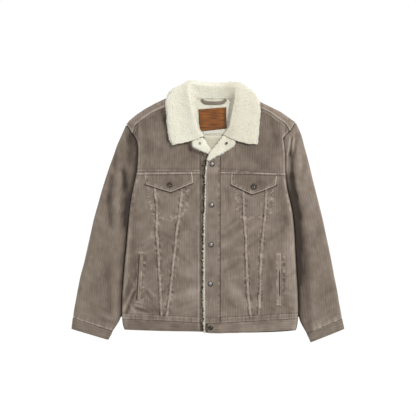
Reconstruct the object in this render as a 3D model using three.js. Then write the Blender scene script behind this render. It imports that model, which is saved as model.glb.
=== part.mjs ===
// Sherpa lined corduroy trucker jacket, laid flat on its back with the front up.
// Millimetres. +X is the wearer's left, +Y runs from hem to collar, +Z is up from the table.
import * as THREE from "three";

// Cloth layers
const GAP = 0.3;
const REST_GAP = 0.4;
const BACK_WALL = 9.5;
const FRONT_WALL = 8.5;
const LAYER = FRONT_WALL + 0.8;
const FRONT_UNDER = BACK_WALL + GAP;
const LINING_WALL = 5.2;
const LINING_TOP = FRONT_UNDER + LINING_WALL;
const OVER_LINING = LINING_TOP + GAP;
const COLLAR_UNDER = FRONT_UNDER + FRONT_WALL + 0.9;
const COLLAR_LEAF = 9.5;
const REVERS_WALL = 7.5;
const FLAP_WALL = 3.4;
const WELT_WALL = 2.6;
const TAPE_WALL = 2;
const PATCH_WALL = 1.8;
const LABEL_WALL = 0.8;

// Seams and edges
const SEAM_HALF = 4;
const SEAM_SHOULDER = 6.5;
const SEAM_RISE = 1.3;
const YOKE_LAP = 6;
const YOKE_RISE = 1.1;
const WAIST_LAP = 14;
const SIDE_ROLL = 18;
const SIDE_EDGE = 2.4;
const HEM_ROLL = 7;
const HEM_DROP = 4.5;
const PLACKET_WIDTH = 41;
const EDGE_PILE = 5;
const UNDER_PLACKET_LEFT = -21;
const UNDER_PLACKET_RIGHT = 28;
const PLACKET_SEAM = 35;
const LIFT_START = 30;
const LIFT_END = 60;
const YOKE_SEAM_Y = 111;
const YOKE_SEAM_FALL = 12;
const ARMHOLE_END_Y = -10;

// Sleeves and cuffs
const SLEEVE_BULGE = 6.5;
const ARMHOLE_BULGE = 11;
const LEAST_TOP = 11;
const OUTER_ROLL = 17;
const INNER_ROLL = 22;
const SLIT_LEVEL = 8;
const SLIT_HALF = 0.7;
const SLEEVE_WALL = 7;

// Snaps
const SNAP_RADIUS = 7;
const SNAP_HEIGHT = 2.8;
const RING_RADIUS = 4.4;
const RING_HEIGHT = 1.5;
const RING_SINK = 1.4;

// Long lines of the wearer's right front: side edge, outer and inner panel seams at each height
const RIGHT_LINES = [
  { y: -345, side: -226, outer: -128, inner: -122 },
  { y: -322, side: -237, outer: -129, inner: -119 },
  { y: -290, side: -241, outer: -130, inner: -115 },
  { y: -230, side: -240, outer: -133, inner: -106 },
  { y: -165, side: -235, outer: -136, inner: -99 },
  { y: -110, side: -230, outer: -139, inner: -93 },
  { y: -65, side: -226, outer: -143, inner: -88 },
  { y: -10, side: -221, outer: -143, inner: -80 },
  { y: 20, side: -217, outer: -144, inner: -77 },
  { y: 60, side: -210, outer: -149, inner: -73 },
  { y: 111, side: -199, outer: -152, inner: -69 },
  { y: 145, side: -196, outer: -153, inner: -68 },
];

// The same on the wearer's left front, with its front edge
const LEFT_LINES = [
  { y: -345, side: 242, outer: 141, inner: 124, edge: -10 },
  { y: -322, side: 250, outer: 142, inner: 122, edge: -10 },
  { y: -290, side: 253, outer: 143, inner: 119, edge: -10 },
  { y: -230, side: 252, outer: 145, inner: 113, edge: -11 },
  { y: -165, side: 248, outer: 147, inner: 109, edge: -11 },
  { y: -110, side: 245, outer: 150, inner: 107, edge: -11 },
  { y: -65, side: 243, outer: 154, inner: 105, edge: -11 },
  { y: -10, side: 238, outer: 160, inner: 101, edge: -10 },
  { y: 20, side: 232, outer: 161, inner: 100, edge: -8 },
  { y: 60, side: 223, outer: 163, inner: 98, edge: -8 },
  { y: 111, side: 217, outer: 166, inner: 96, edge: -6 },
  { y: 145, side: 217, outer: 167, inner: 95, edge: -2 },
];

// Waist seam and hem: their height at each place across
const WAIST_LINES = [
  { x: -245, seam: -300, hem: -331 },
  { x: -130, seam: -305, hem: -335 },
  { x: -14, seam: -311, hem: -337 },
  { x: 9, seam: -312, hem: -340 },
  { x: 115, seam: -307, hem: -340 },
  { x: 204, seam: -302, hem: -337 },
  { x: 258, seam: -299, hem: -332 },
];

// Largest folds of the body front: a ridge has a height above 0, a trough one below
const BODY_FOLDS = [
  { x0: -200, y0: -176, x1: -234, y1: -246, width: 8, height: -2.8 },
  { x0: -190, y0: -205, x1: -222, y1: -286, width: 9, height: 1.6 },
  { x0: -206, y0: -250, x1: -228, y1: -290, width: 6, height: -2.2 },
  { x0: -193, y0: -112, x1: -155, y1: -66, width: 9, height: 1.5 },
  { x0: -214, y0: 20, x1: -207, y1: -150, width: 12, height: -1.6 },
  { x0: -62, y0: -40, x1: -40, y1: -110, width: 17, height: -1.8 },
  { x0: -96, y0: -240, x1: -30, y1: -222, width: 11, height: 1.7 },
  { x0: -90, y0: -180, x1: -35, y1: -205, width: 12, height: -1.3 },
  { x0: 42, y0: -70, x1: 92, y1: -42, width: 9, height: -1.9 },
  { x0: 40, y0: -118, x1: 96, y1: -84, width: 10, height: -1.8 },
  { x0: 44, y0: -96, x1: 90, y1: -62, width: 8, height: 1.2 },
  { x0: 60, y0: -210, x1: 104, y1: -262, width: 13, height: 1.6 },
  { x0: 176, y0: -150, x1: 168, y1: -250, width: 10, height: -1.7 },
  { x0: 226, y0: -60, x1: 232, y1: -260, width: 9, height: 1.4 },
  { x0: 205, y0: 70, x1: 216, y1: -40, width: 12, height: -1.5 },
  { x0: -176, y0: 240, x1: -170, y1: 178, width: 9, height: -0.9 },
  { x0: 182, y0: 246, x1: 192, y1: 190, width: 10, height: -1.6 },
];

const SLEEVE_FOLDS = [
  { x0: -272, y0: 78, x1: -264, y1: 14, width: 9, height: -3.4 },
  { x0: -264, y0: 14, x1: -254, y1: -42, width: 9, height: -2.6 },
  { x0: -250, y0: 70, x1: -248, y1: -20, width: 10, height: 2 },
  { x0: -219, y0: 204, x1: -222, y1: 120, width: 12, height: -5.5 },
  { x0: -240, y0: 150, x1: -232, y1: 60, width: 10, height: -3 },
  { x0: -281, y0: -160, x1: -275, y1: -272, width: 10, height: -2.8 },
  { x0: -262, y0: -180, x1: -258, y1: -288, width: 10, height: 1.6 },
  { x0: -330, y0: -120, x1: -345, y1: -240, width: 16, height: 1.4 },
  { x0: 233, y0: 196, x1: 226, y1: 160, width: 7, height: -5 },
  { x0: 244, y0: 222, x1: 234, y1: 168, width: 6, height: 1.8 },
  { x0: 246, y0: 190, x1: 244, y1: 60, width: 10, height: -5 },
  { x0: 262, y0: 190, x1: 296, y1: 10, width: 15, height: 2 },
  { x0: 262, y0: -20, x1: 272, y1: -200, width: 12, height: -3.4 },
  { x0: 300, y0: -190, x1: 292, y1: -290, width: 10, height: 1.6 },
  { x0: 280, y0: -236, x1: 284, y1: -318, width: 9, height: -2.6 },
];

// Sleeve sections from the shoulder to the cuff seam: outer edge, inner edge
const SLEEVE_RIGHT = [
  { outX: -230, outY: 242.5, inX: -212, inY: 216.5, height: 15.5 },
  { outX: -243, outY: 213, inX: -201, inY: 200, height: 17 },
  { outX: -255, outY: 186, inX: -196.9, inY: 180, height: 17.5 },
  { outX: -264, outY: 160, inX: -196, inY: 156, height: 18 },
  { outX: -277, outY: 124, inX: -198, inY: 126, height: 18 },
  { outX: -287, outY: 94, inX: -202.6, inY: 98, height: 18 },
  { outX: -297, outY: 62, inX: -211, inY: 62, height: 18 },
  { outX: -309, outY: 19, inX: -219, inY: 26, height: 18.5 },
  { outX: -321, outY: -24, inX: -224, inY: -14, height: 18.5 },
  { outX: -330, outY: -65, inX: -228.5, inY: -56, height: 18.5 },
  { outX: -339, outY: -105, inX: -232, inY: -97, height: 18 },
  { outX: -348, outY: -145, inX: -236, inY: -140, height: 18 },
  { outX: -358, outY: -182, inX: -240, inY: -184, height: 18 },
  { outX: -366, outY: -222, inX: -242.5, inY: -226, height: 18 },
  { outX: -373, outY: -260, inX: -243.5, inY: -264, height: 17.5 },
  { outX: -376.5, outY: -281, inX: -246, inY: -300, height: 17 },
  { outX: -378.6, outY: -298.4, inX: -269.5, inY: -337.3, height: 16.5 },
];

const SLEEVE_LEFT = [
  { outX: 247.5, outY: 249, inX: 229.5, inY: 222, height: 15.5 },
  { outX: 262, outY: 216, inX: 214.9, inY: 206.5, height: 17 },
  { outX: 272, outY: 179, inX: 214.6, inY: 182, height: 17.5 },
  { outX: 280, outY: 150, inX: 217, inY: 154, height: 18 },
  { outX: 287, outY: 122, inX: 217.8, inY: 126, height: 18 },
  { outX: 293, outY: 96, inX: 218.3, inY: 98, height: 18 },
  { outX: 301, outY: 64, inX: 223.6, inY: 64, height: 18 },
  { outX: 313, outY: 17, inX: 235, inY: 20, height: 18.5 },
  { outX: 323, outY: -24, inX: 242.5, inY: -24, height: 18.5 },
  { outX: 331, outY: -62, inX: 245, inY: -62, height: 18.5 },
  { outX: 340, outY: -104, inX: 247, inY: -104, height: 18 },
  { outX: 349, outY: -144, inX: 249.2, inY: -146, height: 18 },
  { outX: 357, outY: -184, inX: 251.5, inY: -188, height: 18 },
  { outX: 365, outY: -224, inX: 254.5, inY: -230, height: 18 },
  { outX: 370, outY: -258, inX: 255.5, inY: -268, height: 17.5 },
  { outX: 374, outY: -282, inX: 257.5, inY: -304, height: 17 },
  { outX: 376.6, outY: -301, inX: 278, inY: -343.6, height: 16.5 },
];

const CUFF_RIGHT = [
  { outX: -379, outY: -299, inX: -270, inY: -338, height: 16.8 },
  { outX: -380, outY: -307, inX: -272.6, inY: -345, height: 17.4 },
  { outX: -382, outY: -321, inX: -276.6, inY: -354, height: 17.2 },
  { outX: -383, outY: -329, inX: -279, inY: -360, height: 15.5 },
];

const CUFF_LEFT = [
  { outX: 377, outY: -301.6, inX: 278.6, inY: -344.4, height: 16.8 },
  { outX: 378.6, outY: -309, inX: 281.4, inY: -350, height: 17.4 },
  { outX: 381.6, outY: -322, inX: 285.6, inY: -361, height: 17.2 },
  { outX: 383, outY: -329, inX: 288, inY: -367, height: 15.5 },
];

// Collar sections from the wearer's right point, round the back, to the left point:
// neck seam, roll line, outer edge, height of the roll, sideways bow of the leaf
const COLLAR_SECTIONS = [
  { inX: -8.5, inY: 207.5, rollX: -14, rollY: 211, outX: -99, outY: 187, rollZ: 32, bow: -3 },
  { inX: -23, inY: 229, rollX: -28, rollY: 229, outX: -108, outY: 205, rollZ: 37, bow: -2 },
  { inX: -28, inY: 249, rollX: -34, rollY: 250, outX: -113, outY: 236, rollZ: 39, bow: 0 },
  { inX: -31, inY: 274, rollX: -41, rollY: 275, outX: -115, outY: 273, rollZ: 40, bow: 0 },
  { inX: -36, inY: 297, rollX: -47, rollY: 300, outX: -118, outY: 304, rollZ: 40, bow: 2 },
  { inX: -35, inY: 310, rollX: -51, rollY: 322, outX: -113, outY: 322, rollZ: 40, bow: 3 },
  { inX: -28, inY: 317, rollX: -53, rollY: 341, outX: -101, outY: 340, rollZ: 38, bow: 2 },
  { inX: -20, inY: 317, rollX: -50, rollY: 355, outX: -74, outY: 356, rollZ: 35, bow: 1 },
  { inX: -11, inY: 317, rollX: -36, rollY: 356, outX: -53, outY: 367, rollZ: 32, bow: 0 },
  { inX: -1, inY: 317, rollX: -14, rollY: 352, outX: -18, outY: 363, rollZ: 31, bow: 0 },
  { inX: 12, inY: 317, rollX: 14, rollY: 350, outX: 14, outY: 361, rollZ: 31, bow: 0 },
  { inX: 26, inY: 317, rollX: 44, rollY: 350, outX: 48, outY: 361, rollZ: 31, bow: 0 },
  { inX: 38, inY: 317, rollX: 66, rollY: 351, outX: 83, outY: 363, rollZ: 32, bow: 0 },
  { inX: 49, inY: 317, rollX: 76, rollY: 346, outX: 110, outY: 348, rollZ: 35, bow: 2 },
  { inX: 58, inY: 316, rollX: 77, rollY: 334, outX: 131, outY: 329, rollZ: 38, bow: 3 },
  { inX: 64, inY: 306, rollX: 75, rollY: 312, outX: 143, outY: 307, rollZ: 40, bow: 3 },
  { inX: 61, inY: 284, rollX: 70, rollY: 288, outX: 146, outY: 276, rollZ: 40, bow: 1 },
  { inX: 58, inY: 260, rollX: 65, rollY: 261, outX: 143, outY: 248, rollZ: 39, bow: 0 },
  { inX: 54.5, inY: 236, rollX: 60, rollY: 235, outX: 141, outY: 211, rollZ: 37, bow: -3 },
  { inX: 41, inY: 215, rollX: 45, rollY: 213, outX: 138, outY: 188, rollZ: 33, bow: -6 },
];

// Snaps down the wearer's left front, and on the two pocket flaps
const PLACKET_SNAPS = [
  { x: 12, y: 132 },
  { x: 11, y: 18 },
  { x: 9, y: -93 },
  { x: 7, y: -202 },
  { x: 8, y: -324 },
];
const FLAP_SNAPS = [
  { side: "right", x: -107, y: 74 },
  { side: "left", x: 128, y: 69 },
];
const REVERS_RINGS = [
  { side: "right", x: -22, y: 190 },
  { side: "left", x: 52, y: 190 },
];

const FINISHES = {
  corduroy: { color: 0x80756a, roughness: 0.95, metalness: 0 },
  sherpa: { color: 0xe9e6d8, roughness: 1, metalness: 0 },
  leather: { color: 0x84563a, roughness: 0.7, metalness: 0 },
  tape: { color: 0x93887a, roughness: 0.9, metalness: 0 },
  label: { color: 0xefeee8, roughness: 0.8, metalness: 0 },
  snap: { color: 0x4d4a46, roughness: 0.4, metalness: 0.9 },
};
const materials = Object.fromEntries(
  Object.entries(FINISHES).map(([name, look]) => [name, new THREE.MeshStandardMaterial(look)]),
);

const group = new THREE.Group();
const { clamp, lerp, smoothstep } = THREE.MathUtils;

function add(name, geometry, finish) {
  const mesh = new THREE.Mesh(geometry, materials[finish]);
  mesh.name = name;
  group.add(mesh);
  return mesh;
}

// A smooth function through one column of a table, read along another column.
function column(rows, along, key) {
  const slope = rows.map((row, i) => {
    const before = rows[Math.max(i - 1, 0)];
    const after = rows[Math.min(i + 1, rows.length - 1)];
    return (after[key] - before[key]) / (after[along] - before[along]);
  });
  return (at) => {
    const t = clamp(at, rows[0][along], rows[rows.length - 1][along]);
    const found = rows.findIndex((row) => row[along] >= t);
    const i = Math.max(found, 1);
    const a = rows[i - 1];
    const b = rows[i];
    const span = b[along] - a[along];
    const s = (t - a[along]) / span;
    const rise = (3 - 2 * s) * s * s;
    const bend = s * (1 - s) * span;
    return lerp(a[key], b[key], rise) + bend * ((1 - s) * slope[i - 1] - s * slope[i]);
  };
}

const line = {
  sideRight: column(RIGHT_LINES, "y", "side"),
  outerRight: column(RIGHT_LINES, "y", "outer"),
  innerRight: column(RIGHT_LINES, "y", "inner"),
  sideLeft: column(LEFT_LINES, "y", "side"),
  outerLeft: column(LEFT_LINES, "y", "outer"),
  innerLeft: column(LEFT_LINES, "y", "inner"),
  edge: column(LEFT_LINES, "y", "edge"),
};
const waistSeam = column(WAIST_LINES, "x", "seam");
const hem = column(WAIST_LINES, "x", "hem");

function yokeSeam(x) {
  return YOKE_SEAM_Y - YOKE_SEAM_FALL * smoothstep(x, PLACKET_SEAM, line.sideLeft(YOKE_SEAM_Y));
}

// A smooth edge through a few plan points, by its share of length.
function edge(points) {
  const curve = new THREE.CatmullRomCurve3(points.map(([x, y]) => new THREE.Vector3(x, y, 0)));
  return (t) => {
    const p = curve.getPointAt(clamp(t, 0, 1));
    return [p.x, p.y];
  };
}

// Points on the yoke seam, a gap above it.
function overYokeSeam(...places) {
  return places.map((x) => [x, yokeSeam(x) + GAP]);
}

function foldHeight(folds, x, y) {
  let sum = 0;
  for (const fold of folds) {
    const dx = fold.x1 - fold.x0;
    const dy = fold.y1 - fold.y0;
    const length = Math.hypot(dx, dy);
    const along = ((x - fold.x0) * dx + (y - fold.y0) * dy) / (length * length);
    const across = ((x - fold.x0) * dy - (y - fold.y0) * dx) / length;
    const beyond = Math.max(-along, along - 1, 0) * length;
    const fade = Math.exp(-((beyond / (1.5 * fold.width)) ** 2));
    sum += fold.height * fade * Math.exp(-((across / fold.width) ** 2));
  }
  return sum;
}

// The wearer's left front climbs over the right front near the centre.
function overlapLift(x) {
  return LAYER * (1 - smoothstep(x, LIFT_START, LIFT_END));
}

function seamRise(x, y) {
  if (y > yokeSeam(x)) return 0;
  const seams = x < 0 ? [line.outerRight, line.innerRight] : [line.innerLeft, line.outerLeft];
  const nearest = Math.min(...seams.map((seam) => Math.abs(x - seam(y))));
  return SEAM_RISE * (1 - smoothstep(nearest, SEAM_HALF, SEAM_SHOULDER));
}

function lapRise(x, y) {
  const aboveYoke = y - yokeSeam(x);
  const aboveWaist = y - waistSeam(x);
  const yoke = aboveYoke < 0 ? 0 : YOKE_RISE * (1 - smoothstep(aboveYoke, YOKE_LAP, YOKE_LAP + 2.5));
  const waist = aboveWaist < 0 ? 0 : 0.9 * (1 - smoothstep(aboveWaist, WAIST_LAP, WAIST_LAP + 3));
  return Math.max(yoke, waist);
}

// How far the front has rolled down at its side edge, full below the armhole.
function sideDrop(x, y) {
  const inside = x < 0 ? x - line.sideRight(y) : line.sideLeft(y) - x;
  const roll = 1 - clamp(inside / SIDE_ROLL, 0, 1);
  const free = smoothstep(-y, -ARMHOLE_END_Y - 40, -ARMHOLE_END_Y + 30);
  const depth = lerp(2.6, FRONT_WALL - SIDE_EDGE, free);
  return depth * (1 - Math.sqrt(1 - roll * roll));
}

function hemDrop(x, y) {
  const roll = 1 - clamp((y - hem(x)) / HEM_ROLL, 0, 1);
  return HEM_DROP * roll * roll;
}

function frontTop(x, y, lift = 0) {
  const wall = FRONT_WALL + foldHeight(BODY_FOLDS, x, y) + seamRise(x, y) + lapRise(x, y);
  const edgeShare = clamp(1 - sideDrop(x, y) / (FRONT_WALL - SIDE_EDGE), 0.12, 1);
  const calm = lerp(SIDE_EDGE, wall, edgeShare) - hemDrop(x, y);
  return FRONT_UNDER + lift + Math.max(calm, SIDE_EDGE);
}

// The height that clears the front's surface around a place.
function clearOf(x, y, lift) {
  const reach = 8;
  const around = [[0, 0], [reach, 0], [-reach, 0], [0, reach], [0, -reach]];
  return Math.max(...around.map(([dx, dy]) => frontTop(x + dx, y + dy, lift(x + dx)))) + REST_GAP;
}

const noLift = () => 0;

// A closed wall over a grid of plan points, with a height for its top and its underside.
function slab(plan, topOf, underOf) {
  const rows = plan.length;
  const cols = plan[0].length;
  const at = (i, j) => i * cols + j;
  const count = rows * cols;
  let area = 0;
  for (let i = 0; i < rows - 1; i++)
    for (let j = 0; j < cols - 1; j++) {
      const [ax, ay] = plan[i][j];
      const [bx, by] = plan[i][j + 1];
      const [cx, cy] = plan[i + 1][j + 1];
      const [dx, dy] = plan[i + 1][j];
      area += (cx - ax) * (dy - by) - (dx - bx) * (cy - ay);
    }
  const turns = area > 0;
  const positions = [];
  for (const heightOf of [topOf, underOf])
    plan.forEach((row, i) => row.forEach(([x, y], j) => positions.push(x, y, heightOf(x, y, i, j))));
  const index = [];
  const quad = (a, b, c, d) => {
    const corners = turns ? [a, b, c, a, c, d] : [a, c, b, a, d, c];
    index.push(...corners);
  };
  for (let i = 0; i < rows - 1; i++)
    for (let j = 0; j < cols - 1; j++) {
      quad(at(i, j), at(i, j + 1), at(i + 1, j + 1), at(i + 1, j));
      quad(count + at(i, j), count + at(i + 1, j), count + at(i + 1, j + 1), count + at(i, j + 1));
    }
  const rim = [];
  for (let j = 0; j < cols - 1; j++) rim.push(at(0, j));
  for (let i = 0; i < rows - 1; i++) rim.push(at(i, cols - 1));
  for (let j = cols - 1; j > 0; j--) rim.push(at(rows - 1, j));
  for (let i = rows - 1; i > 0; i--) rim.push(at(i, 0));
  rim.forEach((a, k) => {
    const b = rim[(k + 1) % rim.length];
    quad(b, a, count + a, count + b);
  });
  const geometry = new THREE.BufferGeometry();
  geometry.setAttribute("position", new THREE.Float32BufferAttribute(positions, 3));
  geometry.setIndex(index);
  geometry.computeVertexNormals();
  return geometry;
}

// Places along a length: fixed distances from each end and even steps between.
function stations(length, { start = [0], end = [0], middle }) {
  const first = start[start.length - 1];
  const last = length - end[end.length - 1];
  const steps = Array.from({ length: middle }, (_, k) => lerp(first, last, (k + 1) / (middle + 1)));
  return [...start, ...steps, ...[...end].reverse().map((d) => length - d)];
}

// Plan grid of a panel between two long lines and two cross seams.
function panelPlan({ left, right, bottom, top, cols, rows }) {
  const columnCount = stations(1, cols).length;
  const middleY = (bottom(left(0)) + top(left(0))) / 2;
  const xAt = (y, j) => {
    const from = left(y) + GAP / 2;
    return from + stations(right(y) - GAP / 2 - from, cols)[j];
  };
  const grid = [];
  for (let j = 0; j < columnCount; j++) {
    const foot = bottom(xAt(bottom(xAt(middleY, j)), j)) + GAP / 2;
    const head = top(xAt(top(xAt(middleY, j)), j)) - GAP / 2;
    stations(head - foot, rows).forEach((up, i) => {
      grid[i] ??= [];
      grid[i][j] = [xAt(foot + up, j), foot + up];
    });
  }
  return grid;
}

// Plan grid between four smooth edges; bottom and top run left to right, left and right run up.
function patchPlan({ bottom, top, left, right, rows, cols }) {
  const [b, t, l, r] = [bottom, top, left, right].map(edge);
  const shares = (stops) => (Array.isArray(stops) ? stops : stations(1, { middle: stops - 2 }));
  return shares(rows).map((v) =>
    shares(cols).map((u) =>
      [0, 1].map((axis) => {
        const across = lerp(l(v)[axis], r(v)[axis], u);
        const up = lerp(b(u)[axis], t(u)[axis], v);
        const corners = lerp(lerp(b(0)[axis], b(1)[axis], u), lerp(t(0)[axis], t(1)[axis], u), v);
        return across + up - corners;
      }),
    ),
  );
}

const SEAM_STOPS = [0, SEAM_HALF, SEAM_SHOULDER];
const ROLL_STOPS = [0, 1.5, 5, 10, SIDE_ROLL];
const PANEL_ROWS = { start: [0, WAIST_LAP, WAIST_LAP + 3], middle: 14, end: [0] };

function frontPanel(name, { left, right, cols, lift = noLift }) {
  const plan = panelPlan({ left, right, bottom: waistSeam, top: yokeSeam, cols, rows: PANEL_ROWS });
  add(name, slab(plan, (x, y) => frontTop(x, y, lift(x)), (x) => FRONT_UNDER + lift(x)), "corduroy");
}

function frontPanels() {
  const sideCols = { start: ROLL_STOPS, middle: 2, end: SEAM_STOPS };
  const mirroredCols = { start: SEAM_STOPS, middle: 2, end: ROLL_STOPS };
  const middleCols = { start: SEAM_STOPS, middle: 2, end: SEAM_STOPS };
  frontPanel("front_side_right", { left: line.sideRight, right: line.outerRight, cols: sideCols });
  frontPanel("front_middle_right", { left: line.outerRight, right: line.innerRight, cols: middleCols });
  frontPanel("front_centre_right", {
    left: line.innerRight,
    right: () => UNDER_PLACKET_LEFT,
    cols: { start: SEAM_STOPS, middle: 4 },
  });
  frontPanel("front_centre_left", {
    left: () => PLACKET_SEAM,
    right: line.innerLeft,
    cols: { middle: 5, end: SEAM_STOPS },
    lift: overlapLift,
  });
  frontPanel("front_middle_left", { left: line.innerLeft, right: line.outerLeft, cols: middleCols });
  frontPanel("front_side_left", { left: line.outerLeft, right: line.sideLeft, cols: mirroredCols });
}

function frontSlab(plan, lift = noLift) {
  return slab(plan, (x, y) => frontTop(x, y, lift(x)), (x) => FRONT_UNDER + lift(x));
}

const YOKE_ROWS = [0, 0.03, 0.045, 0.14, 0.25, 0.36, 0.47, 0.58, 0.7, 0.82, 0.92, 1];

function yokes() {
  const right = patchPlan({
    bottom: [[-198.8, 111.3], [-110, 111.3], [-21.3, 111.3]],
    top: [
      [-210.6, 217.6], [-203.5, 240], [-183, 256.5], [-155, 275.5], [-117, 292.7], [-84, 306], [-60, 313],
    ],
    left: [[-198.8, 111.3], [-196.6, 135], [-195.6, 165], [-197, 190], [-201, 204], [-210.6, 217.6]],
    right: [[-21.3, 111.3], [-21.3, 170], [-22.5, 208], [-32, 224], [-42, 246], [-50, 276], [-60, 313]],
    rows: YOKE_ROWS,
    cols: 14,
  });
  add("yoke_right", frontSlab(right), "corduroy");
  const left = patchPlan({
    bottom: overYokeSeam(35.3, 60, 85, 110, 135, 160, 185, 217),
    top: [
      [80, 314], [110, 303], [143, 289.6], [174, 275.4], [195, 258.6], [216, 245], [226, 229], [227.4, 224],
    ],
    left: [[35.3, 111.3], [35.3, 160], [36.5, 191], [53.5, 211], [69, 238], [75, 264], [80, 314]],
    right: [[217, 99.3], [217, 130], [216, 162], [213.6, 184], [210.4, 207], [227.4, 224]],
    rows: YOKE_ROWS,
    cols: 14,
  });
  add("yoke_left", frontSlab(left, overlapLift), "corduroy");
}

// The back yoke's roll over each shoulder, in front of its seam.
function shoulderStrips() {
  const right = patchPlan({
    bottom: [[-211.2, 218.4], [-204, 241], [-183.4, 257.2], [-155.3, 276.3], [-117.3, 293.5], [-82, 307.4]],
    top: [[-228, 244], [-221, 254], [-202, 270], [-177, 287], [-148, 303], [-112, 320], [-82, 334]],
    left: [[-211.2, 218.4], [-228, 244]],
    right: [[-82, 307.4], [-82, 334]],
    rows: [0, 0.3, 0.6, 0.85, 1],
    cols: 14,
  });
  const left = patchPlan({
    bottom: [
      [98, 308.4], [143.3, 290.4], [174.4, 276.2], [195.5, 259.4], [216.8, 245.6], [227, 229.6],
      [228.6, 224.6],
    ],
    top: [[98, 328.6], [120, 320], [143, 309], [166, 298], [206, 278], [245, 250]],
    left: [[98, 308.4], [98, 328.6]],
    right: [[228.6, 224.6], [245, 250]],
    rows: [0, 0.3, 0.6, 0.85, 1],
    cols: 14,
  });
  const rolled = (rows) => (x, y, i) => {
    const out = clamp((i / (rows - 1) - 0.2) / 0.8, 0, 1);
    return FRONT_UNDER + lerp(FRONT_WALL, SIDE_EDGE, 1 - Math.sqrt(1 - out ** 4));
  };
  add("shoulder_strip_right", slab(right, rolled(right.length), () => FRONT_UNDER), "corduroy");
  add("shoulder_strip_left", slab(left, rolled(left.length), () => FRONT_UNDER), "corduroy");
}

function waistband(name, from, to, cols, lift = noLift) {
  const plan = panelPlan({
    left: from,
    right: to,
    bottom: (x) => hem(x) - GAP / 2,
    top: (x) => waistSeam(x) - GAP,
    cols,
    rows: { start: [0, 1.5, 4, HEM_ROLL], middle: 1, end: [0] },
  });
  add(name, frontSlab(plan, lift), "corduroy");
}

function waistbands() {
  const frontEdge = (y) => line.edge(y) + EDGE_PILE;
  const cols = { start: ROLL_STOPS, middle: 9 };
  const climbing = { start: [0, 16, 35, 52, 70], middle: 7, end: ROLL_STOPS };
  waistband("waistband_right", line.sideRight, () => UNDER_PLACKET_RIGHT, cols);
  waistband("waistband_left", frontEdge, line.sideLeft, climbing, overlapLift);
}

const PLACKET_TURN = 3;
const PLACKET_RISE = 0.8;
const PLACKET_TOP = FRONT_UNDER + LAYER + FRONT_WALL + PLACKET_RISE;

// Overlap strips of the two fronts, and the lining pile that rolls past the upper front's edge.
function plackets() {
  const under = patchPlan({
    bottom: [[UNDER_PLACKET_LEFT + GAP, -310], [UNDER_PLACKET_RIGHT, -310]],
    top: [[UNDER_PLACKET_LEFT + GAP, 205], [UNDER_PLACKET_RIGHT, 132]],
    left: [[UNDER_PLACKET_LEFT + GAP, -310], [UNDER_PLACKET_LEFT + GAP, 205]],
    right: [[UNDER_PLACKET_RIGHT, -310], [UNDER_PLACKET_RIGHT, 132]],
    rows: 10,
    cols: 3,
  });
  add("placket_right", slab(under, () => FRONT_UNDER + FRONT_WALL, () => FRONT_UNDER), "corduroy");

  const top = (x) => lerp(139, 190, clamp((x - line.edge(139) - EDGE_PILE) / PLACKET_WIDTH, 0, 1));
  const plan = panelPlan({
    left: (y) => line.edge(y) + EDGE_PILE,
    right: () => PLACKET_SEAM,
    bottom: waistSeam,
    top,
    cols: { start: [0, PLACKET_TURN], middle: 2, end: [0, PLACKET_TURN] },
    rows: { middle: 20 },
  });
  const placketTop = (x, y, i, j) => PLACKET_TOP - (j > 0 && j < plan[0].length - 1 ? 0 : PLACKET_RISE);
  add("placket_left", slab(plan, placketTop, () => FRONT_UNDER + LAYER), "corduroy");

  const pile = panelPlan({
    left: (y) => line.edge(y) - 0.5,
    right: (y) => line.edge(y) + EDGE_PILE,
    bottom: (x) => hem(x) + 0.5,
    top: () => 138,
    cols: { middle: 1 },
    rows: { middle: 22 },
  });
  const pileTop = (x, y, i, j) => FRONT_UNDER + LAYER + (j === 1 ? FRONT_WALL - 0.5 : FRONT_WALL - 3);
  add("front_edge_pile", slab(pile, pileTop, () => FRONT_UNDER + LAYER), "sherpa");
}

// Back pieces, flat on the table.
function backPieces() {
  const yoke = patchPlan({
    bottom: overYokeSeam(-198.8, -100, 0, 35.3, 60, 85, 110, 135, 160, 185, 217),
    top: [
      [-228, 244], [-202, 270], [-148, 303], [-112, 320], [-82, 334], [-62, 322], [-40, 315.5], [-10, 315.5],
      [40, 315.5], [62, 315.5], [80, 320], [98, 328.6], [143, 309], [206, 278], [245, 250],
    ],
    left: [[-198.8, 111.3], [-196.6, 135], [-195.6, 165], [-197, 190], [-201, 204], [-211, 218], [-228, 244]],
    right: [[217, 99.3], [217, 130], [216, 162], [213.6, 184], [210.4, 207], [228, 224], [245, 250]],
    rows: 8,
    cols: 24,
  });
  add("back_yoke", slab(yoke, () => BACK_WALL, () => 0), "corduroy");
  const panel = panelPlan({
    left: line.sideRight,
    right: line.sideLeft,
    bottom: waistSeam,
    top: yokeSeam,
    cols: { middle: 8 },
    rows: { middle: 12 },
  });
  add("back_panel", slab(panel, () => BACK_WALL, () => 0), "corduroy");
  const band = panelPlan({
    left: line.sideRight,
    right: line.sideLeft,
    bottom: (x) => hem(x) - GAP / 2,
    top: waistSeam,
    cols: { middle: 10 },
    rows: { middle: 2 },
  });
  add("waistband_back", slab(band, () => BACK_WALL, () => 0), "corduroy");
}

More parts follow.
